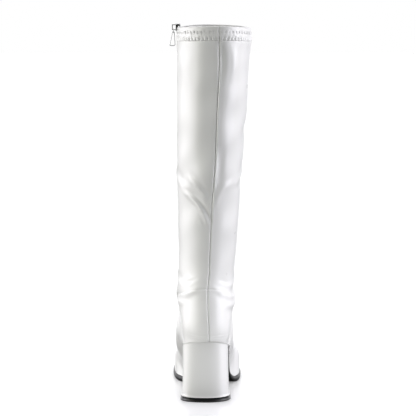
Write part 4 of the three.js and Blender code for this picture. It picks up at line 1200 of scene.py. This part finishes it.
def make_floor():
    """A pale glossy floor with painted shade: white behind the boot, a little darker and bluer in front of the
    boot's heel, for the light falling off towards the camera.
    """
    material, tree, shader = principled("floor", FLOOR_WHITE[:3], 0.22, specular=0.4)
    set_inputs(shader, {"Emission Color": (1, 1, 1, 1), "Emission Strength": FLOOR_GLOW})
    coordinates = tree.nodes.new("ShaderNodeTexCoord")
    split = tree.nodes.new("ShaderNodeSeparateXYZ")
    tree.links.new(coordinates.outputs["Object"], split.inputs[0])
    # Painted shade mask: 0 in front of the boot (grey-blue), 1 behind it (white)
    painted_shade_mask = smooth_range(tree, FLOOR_FRONT, FLOOR_BACK)
    tree.links.new(split.outputs["Y"], painted_shade_mask.inputs["Value"])
    painted_shade_mix = tree.nodes.new("ShaderNodeMix")
    painted_shade_mix.data_type = "RGBA"
    colours = [socket for socket in painted_shade_mix.inputs if socket.type == "RGBA"]
    colours[0].default_value = FLOOR_PAINTED_SHADE
    colours[1].default_value = FLOOR_WHITE
    tree.links.new(painted_shade_mask.outputs["Result"], painted_shade_mix.inputs["Factor"])
    blended = [socket for socket in painted_shade_mix.outputs if socket.type == "RGBA"][0]
    tree.links.new(blended, shader.inputs["Base Color"])
    mesh = bpy.data.meshes.new("floor")
    r, z = FLOOR_REACH, -0.0003
    mesh.from_pydata([(-r, -r, z), (r, -r, z), (r, r, z), (-r, r, z)], [], [(0, 1, 2, 3)])
    mesh.materials.append(material)
    floor = placed("floor", mesh)
    floor.visible_diffuse = False
    floor.visible_glossy = False


# Soft lights: degrees round from behind the heel, degrees up, half-angles of core and edge, strength, colour
LIGHTS = (
    (-60, 10, 10, 30, 0.8, (0.97, 1.0, 0.76)),
    (60, 10, 10, 30, 1.05, (0.98, 1.0, 1.02)),
    (-80, 10, 10, 30, 2.75, (1.02, 1.0, 1.02)),
    (80, 10, 10, 30, 3.4, (1.02, 1.0, 1.08)),
    (-105, 10, 10, 30, 2.5, (1.02, 1.0, 1.03)),
    (105, 10, 10, 30, 1.4, (1.02, 1.0, 0.98)),
    (-130, 10, 10, 30, 0.95, (1.0, 1.0, 1.04)),
    (130, 10, 10, 30, 0.9, (1.02, 1.0, 1.05)),
    (180, 8, 10, 40, 1.1, (1.0, 1.0, 1.02)),
    (0, 90, 30, 50, 1.05, (1.0, 1.0, 1.02)),
)
AMBIENT = (0.03, 0.033, 0.028)
FILL_LEVEL = 0.75
FILL_ACROSS, FILL_NEAR, FILL_FAR = 1.2, -0.06, -0.33


def make_fill():
    """A wide soft light on the floor behind the heel, which lights the lower part of the boot most."""
    data = bpy.data.lights.new("low_fill", "AREA")
    data.shape = "RECTANGLE"
    data.size, data.size_y = FILL_ACROSS, FILL_NEAR - FILL_FAR
    data.energy = FILL_LEVEL * math.pi * data.size * data.size_y
    fill = placed("low_fill", data)
    fill.location = (0.0, (FILL_NEAR + FILL_FAR) / 2, 0.0002)
    fill.rotation_euler = (math.pi, 0.0, 0.0)
    fill.visible_camera = False


def make_world():
    """Soft lights on both sides and above, and plain white where the camera looks past the boot."""
    world = bpy.data.worlds.new("world")
    bpy.context.scene.world = world
    world.use_nodes = True
    tree = world.node_tree
    nodes, links = tree.nodes, tree.links
    plain = nodes["Background"]
    set_inputs(plain, {"Color": (1, 1, 1, 1), "Strength": 1.0})
    coordinates = nodes.new("ShaderNodeTexCoord")
    total = None
    for azimuth, up, core, edge, strength, colour in LIGHTS:
        a, u = math.radians(azimuth), math.radians(up)
        way = (math.sin(a) * math.cos(u), -math.cos(a) * math.cos(u), math.sin(u))
        dot = vector_math(tree, "DOT_PRODUCT", 1, way)
        links.new(coordinates.outputs["Generated"], dot.inputs[0])
        level = smooth_range(tree, math.cos(math.radians(edge)), math.cos(math.radians(core)), strength)
        links.new(dot.outputs["Value"], level.inputs["Value"])
        tinted = vector_math(tree, "SCALE", 0, colour)
        links.new(level.outputs["Result"], tinted.inputs["Scale"])
        add = vector_math(tree, "ADD", 0, AMBIENT)
        if total:
            links.new(total, add.inputs[0])
        links.new(tinted.outputs[0], add.inputs[1])
        total = add.outputs[0]
    lit = nodes.new("ShaderNodeBackground")
    links.new(total, lit.inputs["Color"])
    path = nodes.new("ShaderNodeLightPath")
    chosen = nodes.new("ShaderNodeMixShader")
    links.new(path.outputs["Is Camera Ray"], chosen.inputs["Fac"])
    links.new(lit.outputs[0], chosen.inputs[1])
    links.new(plain.outputs[0], chosen.inputs[2])
    links.new(chosen.outputs[0], nodes["World Output"].inputs["Surface"])


# Camera: focal length in mm, place in metres, degrees below level
LENS, CAMERA_PLACE, CAMERA_DOWN = 157.15, (0.00295, -2.2275, 0.508), 6.9


def make_camera():
    """The camera where the photograph was taken from."""
    data = bpy.data.cameras.new("camera")
    data.sensor_width = 36.0
    data.lens = LENS
    data.clip_end = 50.0
    camera = placed("camera", data)
    camera.location = CAMERA_PLACE
    camera.rotation_euler = (math.radians(90 - CAMERA_DOWN), 0.0, 0.0)
    bpy.context.scene.camera = camera


def dress(node, material):
    """Gives a solid that is shown as it is its own finish."""
    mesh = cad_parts[node].data
    mesh.materials.clear()
    mesh.materials.append(material)


make_camera()
make_world()
make_fill()
make_floor()
make_upper()
make_hem()
make_lining()
make_insole()
make_outsole()
make_tread()
make_heel()
make_top_piece()
make_chain()
make_stitches()
copy_rounded("zip_slider_body", "zip_slider", BRIGHT_METAL, "boot", 0.3)
make_link_and_pull()
dress("zip_tape_front", ZIP_TAPE)
dress("zip_tape_rear", ZIP_TAPE)

bpy.context.scene.view_settings.view_transform = "Standard"
